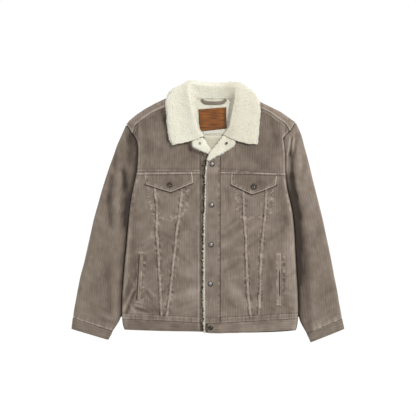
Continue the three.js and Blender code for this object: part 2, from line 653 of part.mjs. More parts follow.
// Sherpa lining, only where the open neck shows it, with what is sewn on it.
function neckInside() {
  const plan = patchPlan({
    bottom: [[29.2, 135.6], [34.4, 135.6]],
    top: [[-58.6, 314.6], [-20, 315.6], [40, 315.6], [77, 314.6]],
    left: [
      [29.2, 135.6], [5, 172.6], [-19.6, 209], [-31, 225.4], [-41.2, 246.6], [-49.4, 276.4], [-58.6, 314.6],
    ],
    right: [[34.4, 135.6], [34.7, 160], [35.4, 191], [51, 212.4], [65, 238.4], [72, 264.4], [77, 314.6]],
    rows: 14,
    cols: 8,
  });
  add("neck_lining", slab(plan, () => LINING_TOP, () => FRONT_UNDER), "sherpa");

  const patch = patchPlan({
    bottom: [[-17, 225.5], [17, 229], [50, 232.5]],
    top: [[-25, 286], [12, 288.6], [50, 291]],
    left: [[-17, 225.5], [-25, 286]],
    right: [[50, 232.5], [50, 291]],
    rows: 3,
    cols: 4,
  });
  add("leather_patch", slab(patch, () => OVER_LINING + PATCH_WALL, () => OVER_LINING), "leather");

  const label = patchPlan({
    bottom: [[-10, 211.5], [37, 212.5]],
    top: [[-10, 224.4], [37, 229.6]],
    left: [[-10, 211.5], [-10, 224.4]],
    right: [[37, 212.5], [37, 229.6]],
    rows: 2,
    cols: 3,
  });
  add("care_label", slab(label, () => OVER_LINING + LABEL_WALL, () => OVER_LINING), "label");

  const loop = patchPlan({
    bottom: [[-22, 307], [-12, 298.4], [2, 296], [32, 296], [46, 298.4], [55, 307]],
    top: [[-15, 314], [-8, 307.4], [4, 305.4], [30, 305.4], [41, 307.4], [48, 314]],
    left: [[-22, 307], [-15, 314]],
    right: [[55, 307], [48, 314]],
    rows: 3,
    cols: 16,
  });
  const loopUnder = (x, y, i, j) => OVER_LINING + 0.9 * Math.sin((Math.PI * j) / 15);
  add("hanger_loop", slab(loop, (x, y, i, j) => loopUnder(x, y, i, j) + TAPE_WALL, loopUnder), "tape");
}

// Places across the collar: shares from the neck seam up to the roll, then down the leaf
const COLLAR_RISE = [0, 0.2, 0.5, 0.78, 1];
const COLLAR_FALL = [0.3, 0.55, 0.78, 0.93, 1];
const LEAF_START = 6;
const FLOOR_FIRST = 7;
const FLOOR_LAST = 13;

function collar() {
  const plan = [];
  const tops = [];
  const unders = [];
  COLLAR_SECTIONS.forEach((row, k) => {
    const onFloor = k >= FLOOR_FIRST && k <= FLOOR_LAST;
    const leaf = Math.hypot(row.outX - row.rollX, row.outY - row.rollY);
    const stand = onFloor ? 0 : OVER_LINING;
    const leafTop = onFloor ? row.rollZ - 5 : COLLAR_UNDER + COLLAR_LEAF;
    const edgeTop = onFloor ? 12 : COLLAR_UNDER + 2.5;
    const places = [];
    const high = [];
    const low = [];
    for (const s of COLLAR_RISE) {
      places.push([lerp(row.inX, row.rollX, s), lerp(row.inY, row.rollY, s)]);
      high.push(lerp(OVER_LINING + 1.6, row.rollZ, Math.sin((s * Math.PI) / 2)));
      low.push(stand);
    }
    const first = Math.min(LEAF_START / leaf, 0.25);
    for (const s of [first, ...COLLAR_FALL]) {
      const bow = row.bow * Math.sin(Math.PI * s);
      places.push([lerp(row.rollX, row.outX, s), lerp(row.rollY, row.outY, s) + bow]);
      const settled = lerp(row.rollZ, leafTop, smoothstep(s, 0, 0.5));
      high.push(lerp(edgeTop, settled, Math.sqrt(1 - s ** 5)));
      const [x, y] = places[places.length - 1];
      low.push(onFloor ? 0 : Math.max(COLLAR_UNDER, clearOf(x, y, overlapLift)));
    }
    plan.push(places);
    tops.push(high);
    unders.push(low);
  });
  add("collar", slab(plan, (x, y, i, j) => tops[i][j], (x, y, i, j) => unders[i][j]), "sherpa");
}

// Height of the underside of the wearer's left revers, over the placket and the yoke.
function reversLevel(x, y) {
  return clearOf(x, y, overlapLift) + PLACKET_RISE + 0.1;
}

// The front edges turned out below the collar. The fold side reaches down to the lining.
function revers() {
  const right = patchPlan({
    bottom: [[1.5, 160.6], [10.5, 170]],
    top: [[-44, 198.6], [-29, 203.2], [-15, 206]],
    left: [[1.5, 160.6], [-16, 165], [-35, 175], [-43, 186], [-44, 198.6]],
    right: [[10.5, 170], [-2, 188], [-15, 206]],
    rows: 7,
    cols: [0, 0.12, 0.35, 0.6, 0.8, 0.92, 1],
  });
  const left = patchPlan({
    bottom: [[-3.5, 143.4], [2.4, 140.6]],
    top: [[42.6, 210.6], [58, 203], [75.5, 195]],
    left: [[-3.5, 143.4], [4, 160], [13.4, 173], [28, 191.6], [42.6, 210.6]],
    right: [[2.4, 140.6], [20, 151], [46, 165], [67, 178], [74, 186], [75.5, 195]],
    rows: 9,
    cols: [0, 0.08, 0.2, 0.4, 0.65, 0.88, 1],
  });
  const foldWidth = 3.5;
  const fromFold = (x, y) => (38 * (11 - x) + 25 * (170 - y)) / Math.hypot(38, 25);
  const underRight = (x, y) => (fromFold(x, y) > foldWidth ? COLLAR_UNDER - 0.3 : OVER_LINING);
  const puff = (plan, i, j) => {
    const u = j / (plan[0].length - 1);
    const v = i / (plan.length - 1);
    return Math.sqrt(Math.max(0, 1 - (2 * u - 1) ** 6)) * Math.sqrt(Math.max(0, 1 - (1 - v) ** 6));
  };
  const topRight = (x, y, i, j) => COLLAR_UNDER + lerp(2.2, REVERS_WALL, puff(right, i, j));
  add("revers_right", slab(right, topRight, underRight), "sherpa");
  const topLeft = (x, y, i, j) => reversLevel(x, y) + lerp(2.2, REVERS_WALL, puff(left, i, j));
  add("revers_left", slab(left, topLeft, reversLevel), "sherpa");
}

function pocketFlaps() {
  const shapes = [
    {
      name: "pocket_flap_right",
      bottom: [[-172, 75], [-138, 63], [-104, 54], [-72, 67], [-41, 80]],
      top: [[-178, 110.6], [-110, 110.8], [-45, 110.6]],
      left: [[-172, 75], [-176.4, 92], [-178, 110.6]],
      right: [[-41, 80], [-42.5, 95], [-45, 110.6]],
    },
    {
      name: "pocket_flap_left",
      bottom: [[65, 75], [94, 60], [123, 48], [156, 59], [188, 72]],
      top: [[66, 109.6], [130, 105], [193, 99.4]],
      left: [[65, 75], [65, 92], [66, 109.6]],
      right: [[188, 72], [191.4, 86], [193, 99.4]],
      lift: overlapLift,
    },
  ];
  for (const { name, lift = noLift, ...edges } of shapes) {
    const plan = patchPlan({ ...edges, rows: [0, 0.12, 0.4, 0.7, 1], cols: 13 });
    const under = (x, y) => clearOf(x, y, lift);
    const rim = (i, j) => (i === 0 || j === 0 || j === plan[0].length - 1 ? 0.9 : 0);
    add(name, slab(plan, (x, y, i, j) => under(x, y) + FLAP_WALL - rim(i, j), under), "corduroy");
  }
}

function welts() {
  const shapes = [
    { name: "pocket_welt_right", head: [-195, -180.5], foot: [-203, -189.5], headY: -112, footY: -257 },
    { name: "pocket_welt_left", head: [190, 203.5], foot: [191, 204.5], headY: -117, footY: -263 },
  ];
  for (const { name, head, foot, headY, footY } of shapes) {
    const plan = patchPlan({
      bottom: [[foot[0], footY], [foot[1], footY]],
      top: [[head[0], headY], [head[1], headY]],
      left: [[foot[0], footY], [head[0], headY]],
      right: [[foot[1], footY], [head[1], headY]],
      rows: 12,
      cols: 3,
    });
    const under = (x, y) => clearOf(x, y, noLift);
    add(name, slab(plan, (x, y) => under(x, y) + WELT_WALL, under), "corduroy");
  }
}

// Distances from the outer and from the inner edge where a sleeve section has a point on top
const OUTER_STOPS = [0, 1.2, 4, 9, OUTER_ROLL];
const INNER_STOPS = [0, 2, 6, 13, INNER_ROLL];
const FLOOR_INSET = 5;
const LOW_EDGE = { inset: 1.2, height: 2.6 };

// One section of a flattened tube: its outer ring and the ring of the slit inside.
function tubeRing(row, folds, armholeShare) {
  const width = Math.hypot(row.inX - row.outX, row.inY - row.outY);
  const fit = Math.min(1, width / (OUTER_ROLL + INNER_ROLL + 14));
  const fitted = (stops) => stops.map((stop) => stop * fit);
  const spot = (q, z) => [
    lerp(row.outX, row.inX, q / width),
    lerp(row.outY, row.inY, q / width),
    z,
  ];
  const roundness = (d, reach) => Math.sqrt(1 - (1 - clamp(d / (reach * fit), 0, 1)) ** 2);
  const innerBulge = lerp(SLEEVE_BULGE, ARMHOLE_BULGE, armholeShare);
  const outer = [];
  const inner = [];
  const put = (q, z, level) => {
    outer.push(spot(q, z));
    const slit = SLIT_LEVEL + level * SLIT_HALF;
    inner.push(spot(clamp(q, SLEEVE_WALL * fit, width - SLEEVE_WALL * fit), slit));
  };
  const inset = fitted([FLOOR_INSET]);
  for (const q of stations(width, { start: inset, end: inset, middle: 2 })) put(q, 0, -1);
  put(width - LOW_EDGE.inset, LOW_EDGE.height, -0.5);
  const across = { start: fitted(OUTER_STOPS), end: fitted(INNER_STOPS), middle: 4 };
  for (const q of stations(width, across).reverse()) {
    const fromIn = roundness(width - q, INNER_ROLL);
    const fromOut = roundness(q, OUTER_ROLL);
    const rounded = lerp(innerBulge, row.height, fromIn) - lerp(row.height - SLEEVE_BULGE, 0, fromOut);
    const [x, y] = spot(q, 0);
    const inland = Math.min(fromIn, fromOut);
    const height = rounded + foldHeight(folds, x, y) * inland;
    put(q, inland > 0 ? Math.max(height, LEAST_TOP * inland) : height, inland > 0 ? 1 : 0);
  }
  put(LOW_EDGE.inset, LOW_EDGE.height, -0.5);
  return { outer, inner };
}

// A flattened tube through its sections. The slit starts at one section and is open at the far end.
function tube(rows, folds, armholeEnd, slitFrom) {
  const rings = rows.map((row) =>
    tubeRing(row, folds, 1 - smoothstep(-row.inY, -armholeEnd, -armholeEnd + 60)),
  );
  const size = rings[0].outer.length;
  const positions = [];
  const index = [];
  const put = (ring) => {
    const first = positions.length / 3;
    ring.forEach((p) => positions.push(...p));
    return first;
  };
  const join = (a, b, turned) => {
    for (let k = 0; k < size; k++) {
      const next = (k + 1) % size;
      const quad = [a + k, b + k, b + next, a + k, b + next, a + next];
      index.push(...(turned ? quad.reverse() : quad));
    }
  };
  const close = (first, ring, turned) => {
    const centre = positions.length / 3;
    const sum = ring.reduce((acc, p) => acc.map((v, axis) => v + p[axis] / size), [0, 0, 0]);
    positions.push(...sum);
    for (let k = 0; k < size; k++) {
      const fan = [centre, first + k, first + ((k + 1) % size)];
      index.push(...(turned ? fan.reverse() : fan));
    }
  };
  const outer = rings.map((ring) => put(ring.outer));
  const inner = rings.slice(slitFrom).map((ring) => put(ring.inner));
  for (let i = 0; i < outer.length - 1; i++) join(outer[i], outer[i + 1], false);
  for (let i = 0; i < inner.length - 1; i++) join(inner[i], inner[i + 1], true);
  join(outer[outer.length - 1], inner[inner.length - 1], false);
  if (slitFrom > 0) {
    close(outer[0], rings[0].outer, false);
    close(inner[0], rings[slitFrom].inner, true);
  } else {
    join(inner[0], outer[0], false);
  }
  const geometry = new THREE.BufferGeometry();
  geometry.setAttribute("position", new THREE.Float32BufferAttribute(positions, 3));
  geometry.setIndex(facingOut(positions, index));
  geometry.computeVertexNormals();
  return geometry;
}

// Turns all faces round if the closed surface encloses a negative volume.
function facingOut(positions, index) {
  let volume = 0;
  const point = (k) => new THREE.Vector3().fromArray(positions, 3 * k);
  for (let k = 0; k < index.length; k += 3) {
    const [a, b, c] = [point(index[k]), point(index[k + 1]), point(index[k + 2])];
    volume += a.dot(b.cross(c));
  }
  return volume < 0 ? index.reverse() : index;
}

function sleeves() {
  add("sleeve_right", tube(SLEEVE_RIGHT, SLEEVE_FOLDS, ARMHOLE_END_Y, 2), "corduroy");
  add("sleeve_left", tube(SLEEVE_LEFT, SLEEVE_FOLDS, ARMHOLE_END_Y, 2), "corduroy");
  add("cuff_right", tube(CUFF_RIGHT, [], ARMHOLE_END_Y, 0), "corduroy");
  add("cuff_left", tube(CUFF_LEFT, [], ARMHOLE_END_Y, 0), "corduroy");
}

// Domed snap caps and the flat rings of the snap backs, turned on their own axes.
function turned(name, outline, x, y, z, finish) {
  const profile = outline.map(([r, h]) => new THREE.Vector2(r, h));
  const geometry = new THREE.LatheGeometry(profile, 14);
  geometry.rotateX(Math.PI / 2);
  const mesh = add(name, geometry, finish);
  mesh.position.set(x, y, z);
}

function snaps() {
  const dome = [
    [0, 0],
    [SNAP_RADIUS - 0.6, 0],
    [SNAP_RADIUS, 0.7],
    [SNAP_RADIUS - 0.7, 1.5],
    [SNAP_RADIUS * 0.55, SNAP_HEIGHT - 0.3],
    [0, SNAP_HEIGHT],
  ];
  PLACKET_SNAPS.forEach(({ x, y }, k) => {
    const seat = PLACKET_TOP + GAP - (y < waistSeam(x) ? PLACKET_RISE : 0);
    turned("placket_snap_" + (k + 1), dome, x, y, seat, "snap");
  });
  for (const { side, x, y } of FLAP_SNAPS) {
    const seat = clearOf(x, y, noLift) + FLAP_WALL + 0.6;
    turned("flap_snap_" + side, dome, x, y, seat, "snap");
  }
  const ring = [
    [RING_RADIUS * 0.45, 0],
    [RING_RADIUS, 0],
    [RING_RADIUS, RING_HEIGHT * 0.6],
    [RING_RADIUS * 0.8, RING_HEIGHT],
    [RING_RADIUS * 0.45, RING_HEIGHT * 0.6],
    [RING_RADIUS * 0.45, 0],
  ];
  for (const { side, x, y } of REVERS_RINGS) {
    const level = side === "left" ? reversLevel(x - 2 * RING_RADIUS, y) - RING_SINK : COLLAR_UNDER;
    turned("revers_snap_" + side, ring, x, y, level + REVERS_WALL + GAP, "snap");
  }
}

backPieces();
neckInside();
frontPanels();
yokes();
shoulderStrips();
plackets();
waistbands();
collar();
revers();
pocketFlaps();
welts();
sleeves();
snaps();

export default group;
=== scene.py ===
"""Sherpa lined corduroy trucker jacket, laid flat on its back, dressed over its packed solids."""
import math

import bpy
import numpy as np
from bpy.props import FloatProperty, FloatVectorProperty, PointerProperty
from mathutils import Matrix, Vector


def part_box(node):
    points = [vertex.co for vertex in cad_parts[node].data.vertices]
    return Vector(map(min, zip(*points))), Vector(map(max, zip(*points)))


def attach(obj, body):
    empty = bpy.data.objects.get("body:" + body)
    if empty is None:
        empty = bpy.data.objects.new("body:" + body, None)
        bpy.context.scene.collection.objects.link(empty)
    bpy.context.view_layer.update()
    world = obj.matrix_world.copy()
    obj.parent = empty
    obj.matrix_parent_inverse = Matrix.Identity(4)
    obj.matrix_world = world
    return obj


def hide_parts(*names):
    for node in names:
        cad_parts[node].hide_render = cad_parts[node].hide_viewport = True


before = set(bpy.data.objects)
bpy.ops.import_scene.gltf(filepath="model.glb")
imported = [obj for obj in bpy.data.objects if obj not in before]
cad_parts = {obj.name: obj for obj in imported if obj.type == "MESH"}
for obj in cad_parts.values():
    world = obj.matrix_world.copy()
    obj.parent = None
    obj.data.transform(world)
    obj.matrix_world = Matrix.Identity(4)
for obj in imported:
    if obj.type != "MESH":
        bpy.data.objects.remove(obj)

bl_info = {
    "name": "Sherpa lined jacket",
    "version": (1, 0, 0),
    "blender": (4, 5, 0),
    "location": "3D View > Sidebar > Jacket",
    "description": "Dresses the solids of a corduroy jacket with sherpa, wales, seams and stitches",
    "category": "Object",
}

# Lengths below are in millimetres, and objects are in metres.
MM = 0.001
# Gap between sewn neighbours, width of a wale, and width of the mesh's columns
GAP = 0.3
WALE = 2.0
STEP = WALE / 3
# Heights of the layers and thickness of the walls
BACK_WALL = 9.5
FRONT_UNDER = 9.8
FRONT_WALL = 8.5
FRONT_TOP = FRONT_UNDER + FRONT_WALL
LAYER = 9.3
PLACKET_TOP = FRONT_UNDER + LAYER + FRONT_WALL
LINING_TOP = 15.0
OVER_LINING = 15.3
COLLAR_UNDER = 19.2
COLLAR_LEAF = 9.5
COLLAR_TOP = 40.5
REVERS_WALL = 7.5
FLAP_WALL = 3.4
WELT_WALL = 2.6
# Reach and height of the rolled sides, and half the width of a long seam
SIDE_ROLL = 18
SIDE_EDGE = 2.4
SEAM_HALF = 4.5
# Places across of the overlap's seam and of the under front's edge, and how far the pile rolls out
PLACKET_SEAM = 35
UNDER_PLACKET = -21
EDGE_PILE = 2
# Places across between which the left front settles from the overlap on to the back
LIFT_START = 30
LIFT_END = 60
# Distances from a cut edge where the mesh has its rows: at the waist and at the yoke seam
WAIST_ROWS = (0.15, 1, 2.2, 4, 7, 10, 11.5, 13, 14.5, 16, 17.5)
YOKE_ROWS = (0.15, 1.2, 3)

# Height, then the side edge, outer seam and inner seam of the wearer's right front
RIGHT_LINES = [
    (-345, -226, -128, -122), (-322, -237, -129, -119), (-290, -241, -130, -115), (-230, -240, -133, -106),
    (-165, -235, -136, -99), (-110, -230, -139, -93), (-65, -226, -143, -88), (-10, -221, -143, -80),
    (20, -217, -144, -77), (60, -210, -149, -73), (111, -199, -152, -69), (145, -196, -153, -68),
]
# The same on the wearer's left front, then its front edge
LEFT_LINES = [
    (-345, 242, 141, 124, -10), (-322, 250, 142, 122, -10), (-290, 253, 143, 119, -10),
    (-230, 252, 145, 113, -11), (-165, 248, 147, 109, -11), (-110, 245, 150, 107, -11),
    (-65, 243, 154, 105, -11), (-10, 238, 160, 101, -10), (20, 232, 161, 100, -8),
    (60, 223, 163, 98, -8), (111, 217, 166, 96, -6), (145, 217, 167, 95, -2),
]
# Place across, then the height of the waist seam and of the hem
WAIST_LINES = [
    (-245, -300, -331), (-130, -305, -335), (-14, -311, -337), (9, -312, -340),
    (115, -307, -340), (204, -302, -337), (258, -299, -332),
]
# Folds of the body front: start, end, half width, height
BODY_FOLDS = [
    (-200, -176, -234, -246, 8, -2.8), (-190, -205, -222, -286, 9, 1.6), (-206, -250, -228, -290, 6, -2.2),
    (-193, -112, -155, -66, 9, 1.5), (-214, 20, -207, -150, 12, -1.6), (-62, -40, -40, -110, 17, -1.8),
    (-96, -240, -30, -222, 11, 1.7), (-90, -180, -35, -205, 12, -1.3), (42, -70, 92, -42, 9, -1.1),
    (40, -118, 96, -84, 10, -1.0), (44, -96, 90, -62, 8, 0.6), (60, -210, 104, -262, 13, 1.6),
    (176, -150, 168, -250, 10, -1.7), (226, -60, 232, -260, 9, 1.4), (205, 70, 216, -40, 12, -1.5),
    (-176, 240, -170, 178, 9, -0.9), (182, 246, 192, 190, 10, -1.6),
]
# Small creases that only the cloth shows
BODY_CREASES = [
    (-211, -220, -237, -276, 2.8, 1.7), (-205, -226, -229, -284, 3.6, -1.9),
    (-214, -176, -230, -222, 3.4, -1.5), (-203, -262, -176, -270, 3, 1.3),
    (-200, -272, -168, -281, 3, -1.3), (-196, -284, -160, -288, 2.6, 1.0),
    (-172, -226, -156, -250, 3.6, -1.3), (-166, -218, -150, -236, 3.2, 1.2),
    (-160, -256, -140, -282, 3.4, -1.1),
    (-186, -96, -164, -82, 3.5, -0.9), (-176, -118, -150, -104, 4, 0.8), (-190, -128, -205, -150, 4, -1.0),
    (-128, -60, -104, -76, 5, -0.7), (-124, -150, -108, -128, 5, 0.8), (-130, -236, -112, -210, 4, -0.9),
    (-88, -66, -58, -58, 5, 0.7), (-84, -120, -52, -146, 7, -0.9), (-76, -262, -40, -250, 5, -0.8),
    (-70, -286, -34, -276, 4, 0.7), (48, -46, 80, -22, 5, -0.9), (52, -138, 96, -126, 5, 0.8),
    (46, -168, 84, -146, 6, -1.0), (60, -190, 98, -176, 6, 0.7), (50, -244, 76, -270, 5, -0.8),
    (112, -60, 142, -34, 6, 0.7), (118, -96, 140, -80, 4, -0.8), (122, -170, 138, -150, 4, 0.7),
    (160, -30, 196, 6, 8, 0.8), (170, -80, 206, -58, 6, -0.8), (214, -120, 240, -96, 6, 0.7),
    (212, -190, 244, -170, 5, -0.9), (216, -226, 244, -236, 5, 0.8), (212, -262, 240, -276, 4, -0.8),
    (-222, -180, -208, -204, 4, 1.0), (-218, -262, -204, -284, 4, 1.1), (-180, -268, -150, -280, 4, -0.8),
    (152, -262, 186, -276, 4, -0.7), (-40, 60, -64, 30, 8, -0.8), (48, 60, 60, 24, 6, -0.8),
    (-150, 150, -120, 120, 12, 0.6), (120, 160, 150, 128, 12, -0.6), (60, 170, 76, 130, 8, 0.7),
    (-60, 190, -40, 150, 9, -0.6), (196, 150, 206, 118, 6, 0.8), (-184, 150, -190, 118, 5, 0.8),
]
# Shade that the collar and the turned edge cast on the right yoke: start, end, half width, tone
YOKE_SHADES = [
    (-130, 300, -121, 256, 8, -0.7), (-121, 256, -113, 204, 5, -0.8), (-111, 198, -104, 183, 4, -0.6),
    (-54, 190, -50, 174, 5, -0.7), (-44, 172, -26, 164, 4, -0.6), (-96, 182, -60, 191, 2.5, -0.5),
]
# Folds of the sleeves: start, end, half width, height
SLEEVE_FOLDS = [
    (-268, 96, -277, 30, 8, -3.2), (-277, 30, -272, -36, 8, -2.8), (-249, 100, -255, 20, 8, 2.2),
    (-255, 20, -251, -30, 8, 2), (-258, 162, -261, 130, 5, -1.9), (-219, 204, -220, 150, 10, -4),
    (-236, 112, -231, 62, 8, -3.8), (-281, -160, -275, -272, 10, -1.5), (-262, -180, -258, -288, 10, 1.3),
    (-330, -120, -345, -240, 16, 0.6), (244, 222, 234, 178, 6, 1.8), (236, 168, 235, 90, 6, -3.6),
    (236, 90, 243, 40, 8, -4.6), (243, 40, 253, -20, 9, -4.2), (253, -20, 255, -100, 8, -3.4),
    (256, -110, 259, -190, 6, -2.4), (258, 164, 257, 126, 7, 1.6), (262, 190, 296, 10, 15, 0.8),
    (266, -20, 274, -200, 12, -1.4), (300, -190, 292, -290, 10, 0.7), (280, -236, 284, -318, 9, -1.6),
]
# Painted shade in the sleeves' valleys and painted light on some crests: start, end, half width, tone
SLEEVE_SHADES = [
    (-234, 106, -232, 74, 7, -0.5), (-228, 26, -234, -34, 11, -0.6), (-260, 154, -262, 134, 5, -0.2),
    (-269, 92, -277, 40, 6, -0.22), (-277, 40, -273, -30, 7, -0.2), (235, 160, 235, 100, 6, -0.45),
    (235, 100, 242, 44, 8, -0.9), (242, 44, 252, -10, 10, -0.85), (252, -10, 254.5, -90, 9, -0.85),
    (255, -100, 258, -200, 6, -0.6), (258, 150, 257, 130, 6, 0.25), (262, -90, 268, -160, 18, -0.5),
    (268, -160, 274, -260, 16, -0.3), (230, 206, 223, 160, 2.2, 0.9), (236, 206, 230, 158, 2.2, -0.9),
    (242, 204, 237, 162, 2.2, 0.7), (249, 200, 244, 166, 2.4, -0.5), (223, 160, 222, 112, 2.0, 0.5),
]
# Small creases that only the sleeves' cloth shows
SLEEVE_CREASES = [
    (-236, 208, -226, 176, 4, 1.4), (-246, 188, -236, 150, 5, -1.2), (-262, 120, -250, 96, 6, -1.0),
    (-286, 40, -268, 26, 6, 0.8), (-300, -60, -276, -84, 8, -0.8), (-340, -180, -318, -200, 8, 0.9),
    (-352, -240, -322, -262, 7, -0.9), (-300, -270, -276, -282, 4, -1.3), (-306, -286, -270, -300, 4, 1.2),
    (-296, -304, -268, -312, 3, -1.2), (-350, -284, -318, -296, 5, 0.8), (246, 214, 240, 180, 3, -1.8),
    (256, 196, 250, 150, 4, 1.2), (270, 130, 262, 84, 6, -0.9), (296, 20, 280, -6, 8, 0.9),
    (318, -60, 296, -90, 9, -0.8), (332, -140, 308, -172, 8, 0.9), (346, -216, 318, -240, 7, -0.9),
    (352, -262, 326, -284, 5, 0.9), (306, -300, 276, -316, 4, -1.2), (314, -318, 284, -330, 3, 1.1),
    (356, -290, 330, -306, 4, -0.9),
]
# Sleeve sections: outer edge, inner edge, height
SLEEVE_RIGHT = [
    (-230, 242.5, -212, 216.5, 15.5), (-243, 213, -201, 200, 17), (-255, 186, -196.9, 180, 17.5),
    (-264, 160, -196, 156, 18), (-277, 124, -198, 126, 18), (-287, 94, -202.6, 98, 18),
    (-297, 62, -211, 62, 18), (-309, 19, -219, 26, 18.5), (-321, -24, -224, -14, 18.5),
    (-330, -65, -228.5, -56, 18.5), (-339, -105, -232, -97, 18), (-348, -145, -236, -140, 18),
    (-358, -182, -240, -184, 18), (-366, -222, -242.5, -226, 18), (-373, -260, -243.5, -264, 17.5),
    (-376.5, -281, -246, -300, 17), (-378.6, -298.4, -267.6, -336.8, 16.5),
]
SLEEVE_LEFT = [
    (247.5, 249, 229.5, 222, 15.5), (262, 216, 214.9, 206.5, 17), (272, 179, 214.6, 182, 17.5),
    (280, 150, 217, 154, 18), (287, 122, 217.8, 126, 18), (293, 96, 218.3, 98, 18),
    (301, 64, 223.6, 64, 18), (313, 17, 235, 20, 18.5), (323, -24, 242.5, -24, 18.5),
    (331, -62, 245, -62, 18.5), (340, -104, 247, -104, 18), (348, -144, 249.2, -146, 18),
    (355.4, -184, 251.5, -188, 18), (363.4, -224, 254.5, -230, 18), (369, -258, 255.5, -268, 17.5),
    (373.6, -282, 257.5, -304, 17), (376.6, -301, 278, -343.6, 16.5),
]
# The same round the cuffs, from the seam to the wrist
CUFF_RIGHT = [
    (-379.4, -299, -267.8, -337.6, 16.8), (-380.4, -307, -271, -345, 17.4), (-382, -321, -276, -354, 17.2),
    (-383, -329, -279.4, -360, 15.5),
]
CUFF_LEFT = [
    (377.2, -301.6, 277.4, -344.2, 16.8), (378.6, -309, 280.4, -350, 17.4), (381.6, -322, 285.6, -361, 17.2),
    (383, -329, 288, -367, 15.5),
]
# Collar sections: neck seam, roll line, outer edge, height of the roll, bow of the leaf
COLLAR_SECTIONS = [
    (-8, 206, -13.5, 209.6, -99, 187, 32, -3), (-23, 229, -28, 229, -108, 205, 37, -2),
    (-28, 249, -34, 250, -113, 236, 39, 0), (-31, 274, -41, 275, -115, 273, 40, 0),
    (-36, 297, -47, 300, -118, 304, 40, 2), (-35, 310, -51, 322, -113, 322, 40, 3),
    (-28, 317, -53, 341, -101, 340, 38, 2), (-20, 317, -50, 355, -74, 356, 35, 1),
    (-11, 317, -36, 356, -53, 367, 32, 0), (-1, 317, -14, 352, -18, 363, 31, 0),
    (12, 317, 14, 350, 14, 361, 31, 0), (26, 317, 44, 350, 48, 361, 31, 0),
    (38, 317, 66, 351, 83, 363, 32, 0), (49, 317, 76, 346, 110, 348, 35, 2),
    (58, 316, 77, 334, 131, 329, 38, 3), (64, 306, 75, 312, 143, 307, 40, 3),
    (61, 284, 70, 288, 146, 276, 40, 1), (58, 260, 65, 261, 143, 248, 39, 0),
    (54.5, 236, 60, 235, 141, 211, 37, -3), (41, 215, 45, 213, 138, 188, 33, -6),
]
# First and last section of the collar's back leaf, which lies on the floor
FLOOR_SECTIONS = (7, 13)
# Centres of the snaps
PLACKET_SNAPS = [(12, 132), (11, 18), (9, -93), (7, -202), (8, -324)]
FLAP_SNAPS = [(-107, 74), (128, 69)]
# Flaps: name, lower edge, upper edge, left side, right side, over the lifted overlap
FLAPS = [
    ("pocket_flap_right", [(-178, 76), (-172, 75), (-138, 64), (-104, 54), (-72, 67), (-41, 80)],
     [(-178, 110.6), (-41, 110.6)], [(-172, 50), (-172, 75), (-176.4, 92), (-178, 111)],
     [(-41, 50), (-41, 80), (-42.5, 95), (-45, 111)], False),
    ("pocket_flap_left", [(65, 75), (94, 61), (123, 48), (156, 59), (188, 72), (193, 74)],
     [(65, 109.7), (130, 105), (193, 99.4)], [(65, 45), (65, 75), (65, 92), (66, 110)],
     [(188, 45), (188, 72), (191.4, 86), (193, 99.4), (193, 105)], True),
]
# Outlines of the pocket bags stitched through the fronts
BAG_RIGHT = [
    (-168, 64), (-164, 32), (-159, 16), (-151, -8), (-115, -21), (-77, -8), (-60, 8), (-58, 48), (-58, 70),
]
BAG_LEFT = [(80, 66), (80, 55), (82, 24), (90, -7), (123, -20), (152, -13), (174, -3), (179, 40), (180, 66)]


# Small mathematics

def lerp(a, b, t):
    return a + (b - a) * t


def smoothstep(x, low, high):
    t = np.clip((x - low) / (high - low), 0, 1)
    return t * t * (3 - 2 * t)


def bell(distance, reach):
    """1 in the middle, dying away softly on both sides."""
    return np.exp(-(distance / reach) ** 2)


def smooth(rows, along=0, key=1):
    """A smooth function through one column of a table, read along another column."""
    table = np.array(rows, float)
    t, y = table[:, along], table[:, key]
    order = np.argsort(t)
    t, y = t[order], y[order]
    n = len(t)
    before, after = np.maximum(np.arange(n) - 1, 0), np.minimum(np.arange(n) + 1, n - 1)
    slope = (y[after] - y[before]) / (t[after] - t[before])

    def read(at):
        at = np.clip(at, t[0], t[-1])
        i = np.clip(np.searchsorted(t, at), 1, n - 1)
        span = t[i] - t[i - 1]
        s = (at - t[i - 1]) / span
        bend = s * (1 - s) * span * ((1 - s) * slope[i - 1] - s * slope[i])
        return lerp(y[i - 1], y[i], (3 - 2 * s) * s * s) + bend

    return read


def unchanging(value):
    """A line that keeps one place all along."""
    return lambda at: np.full(np.shape(at), float(value))


def straight(points, along=0):
    """A function through points joined by straight lines, read along one axis."""
    p = np.array(sorted(points, key=lambda q: q[along]), float)
    return lambda at: np.interp(at, p[:, along], p[:, 1 - along])


def ripple(s, period, seed):
    """A smooth irregular wave along a length, from -1 to 1."""
    table = np.random.default_rng(seed).uniform(-1, 1, 512)
    t = np.asarray(s, float) / period + 9.3
    i = np.floor(t).astype(int)
    f = t - i
    return lerp(table[i % 512], table[(i + 1) % 512], f * f * (3 - 2 * f))


def mottle(x, y, period, seed):
    """A smooth irregular pattern over a plan, from -1 to 1."""
    table = np.random.default_rng(seed).uniform(-1, 1, (128, 128))
    s, t = np.asarray(x, float) / period + 64.3, np.asarray(y, float) / period + 64.7
    i, j = np.floor(s).astype(int), np.floor(t).astype(int)
    f, g = s - i, t - j
    f, g = f * f * (3 - 2 * f), g * g * (3 - 2 * g)
    low = lerp(table[i % 128, j % 128], table[(i + 1) % 128, j % 128], f)
    high = lerp(table[i % 128, (j + 1) % 128], table[(i + 1) % 128, (j + 1) % 128], f)
    return lerp(low, high, g)


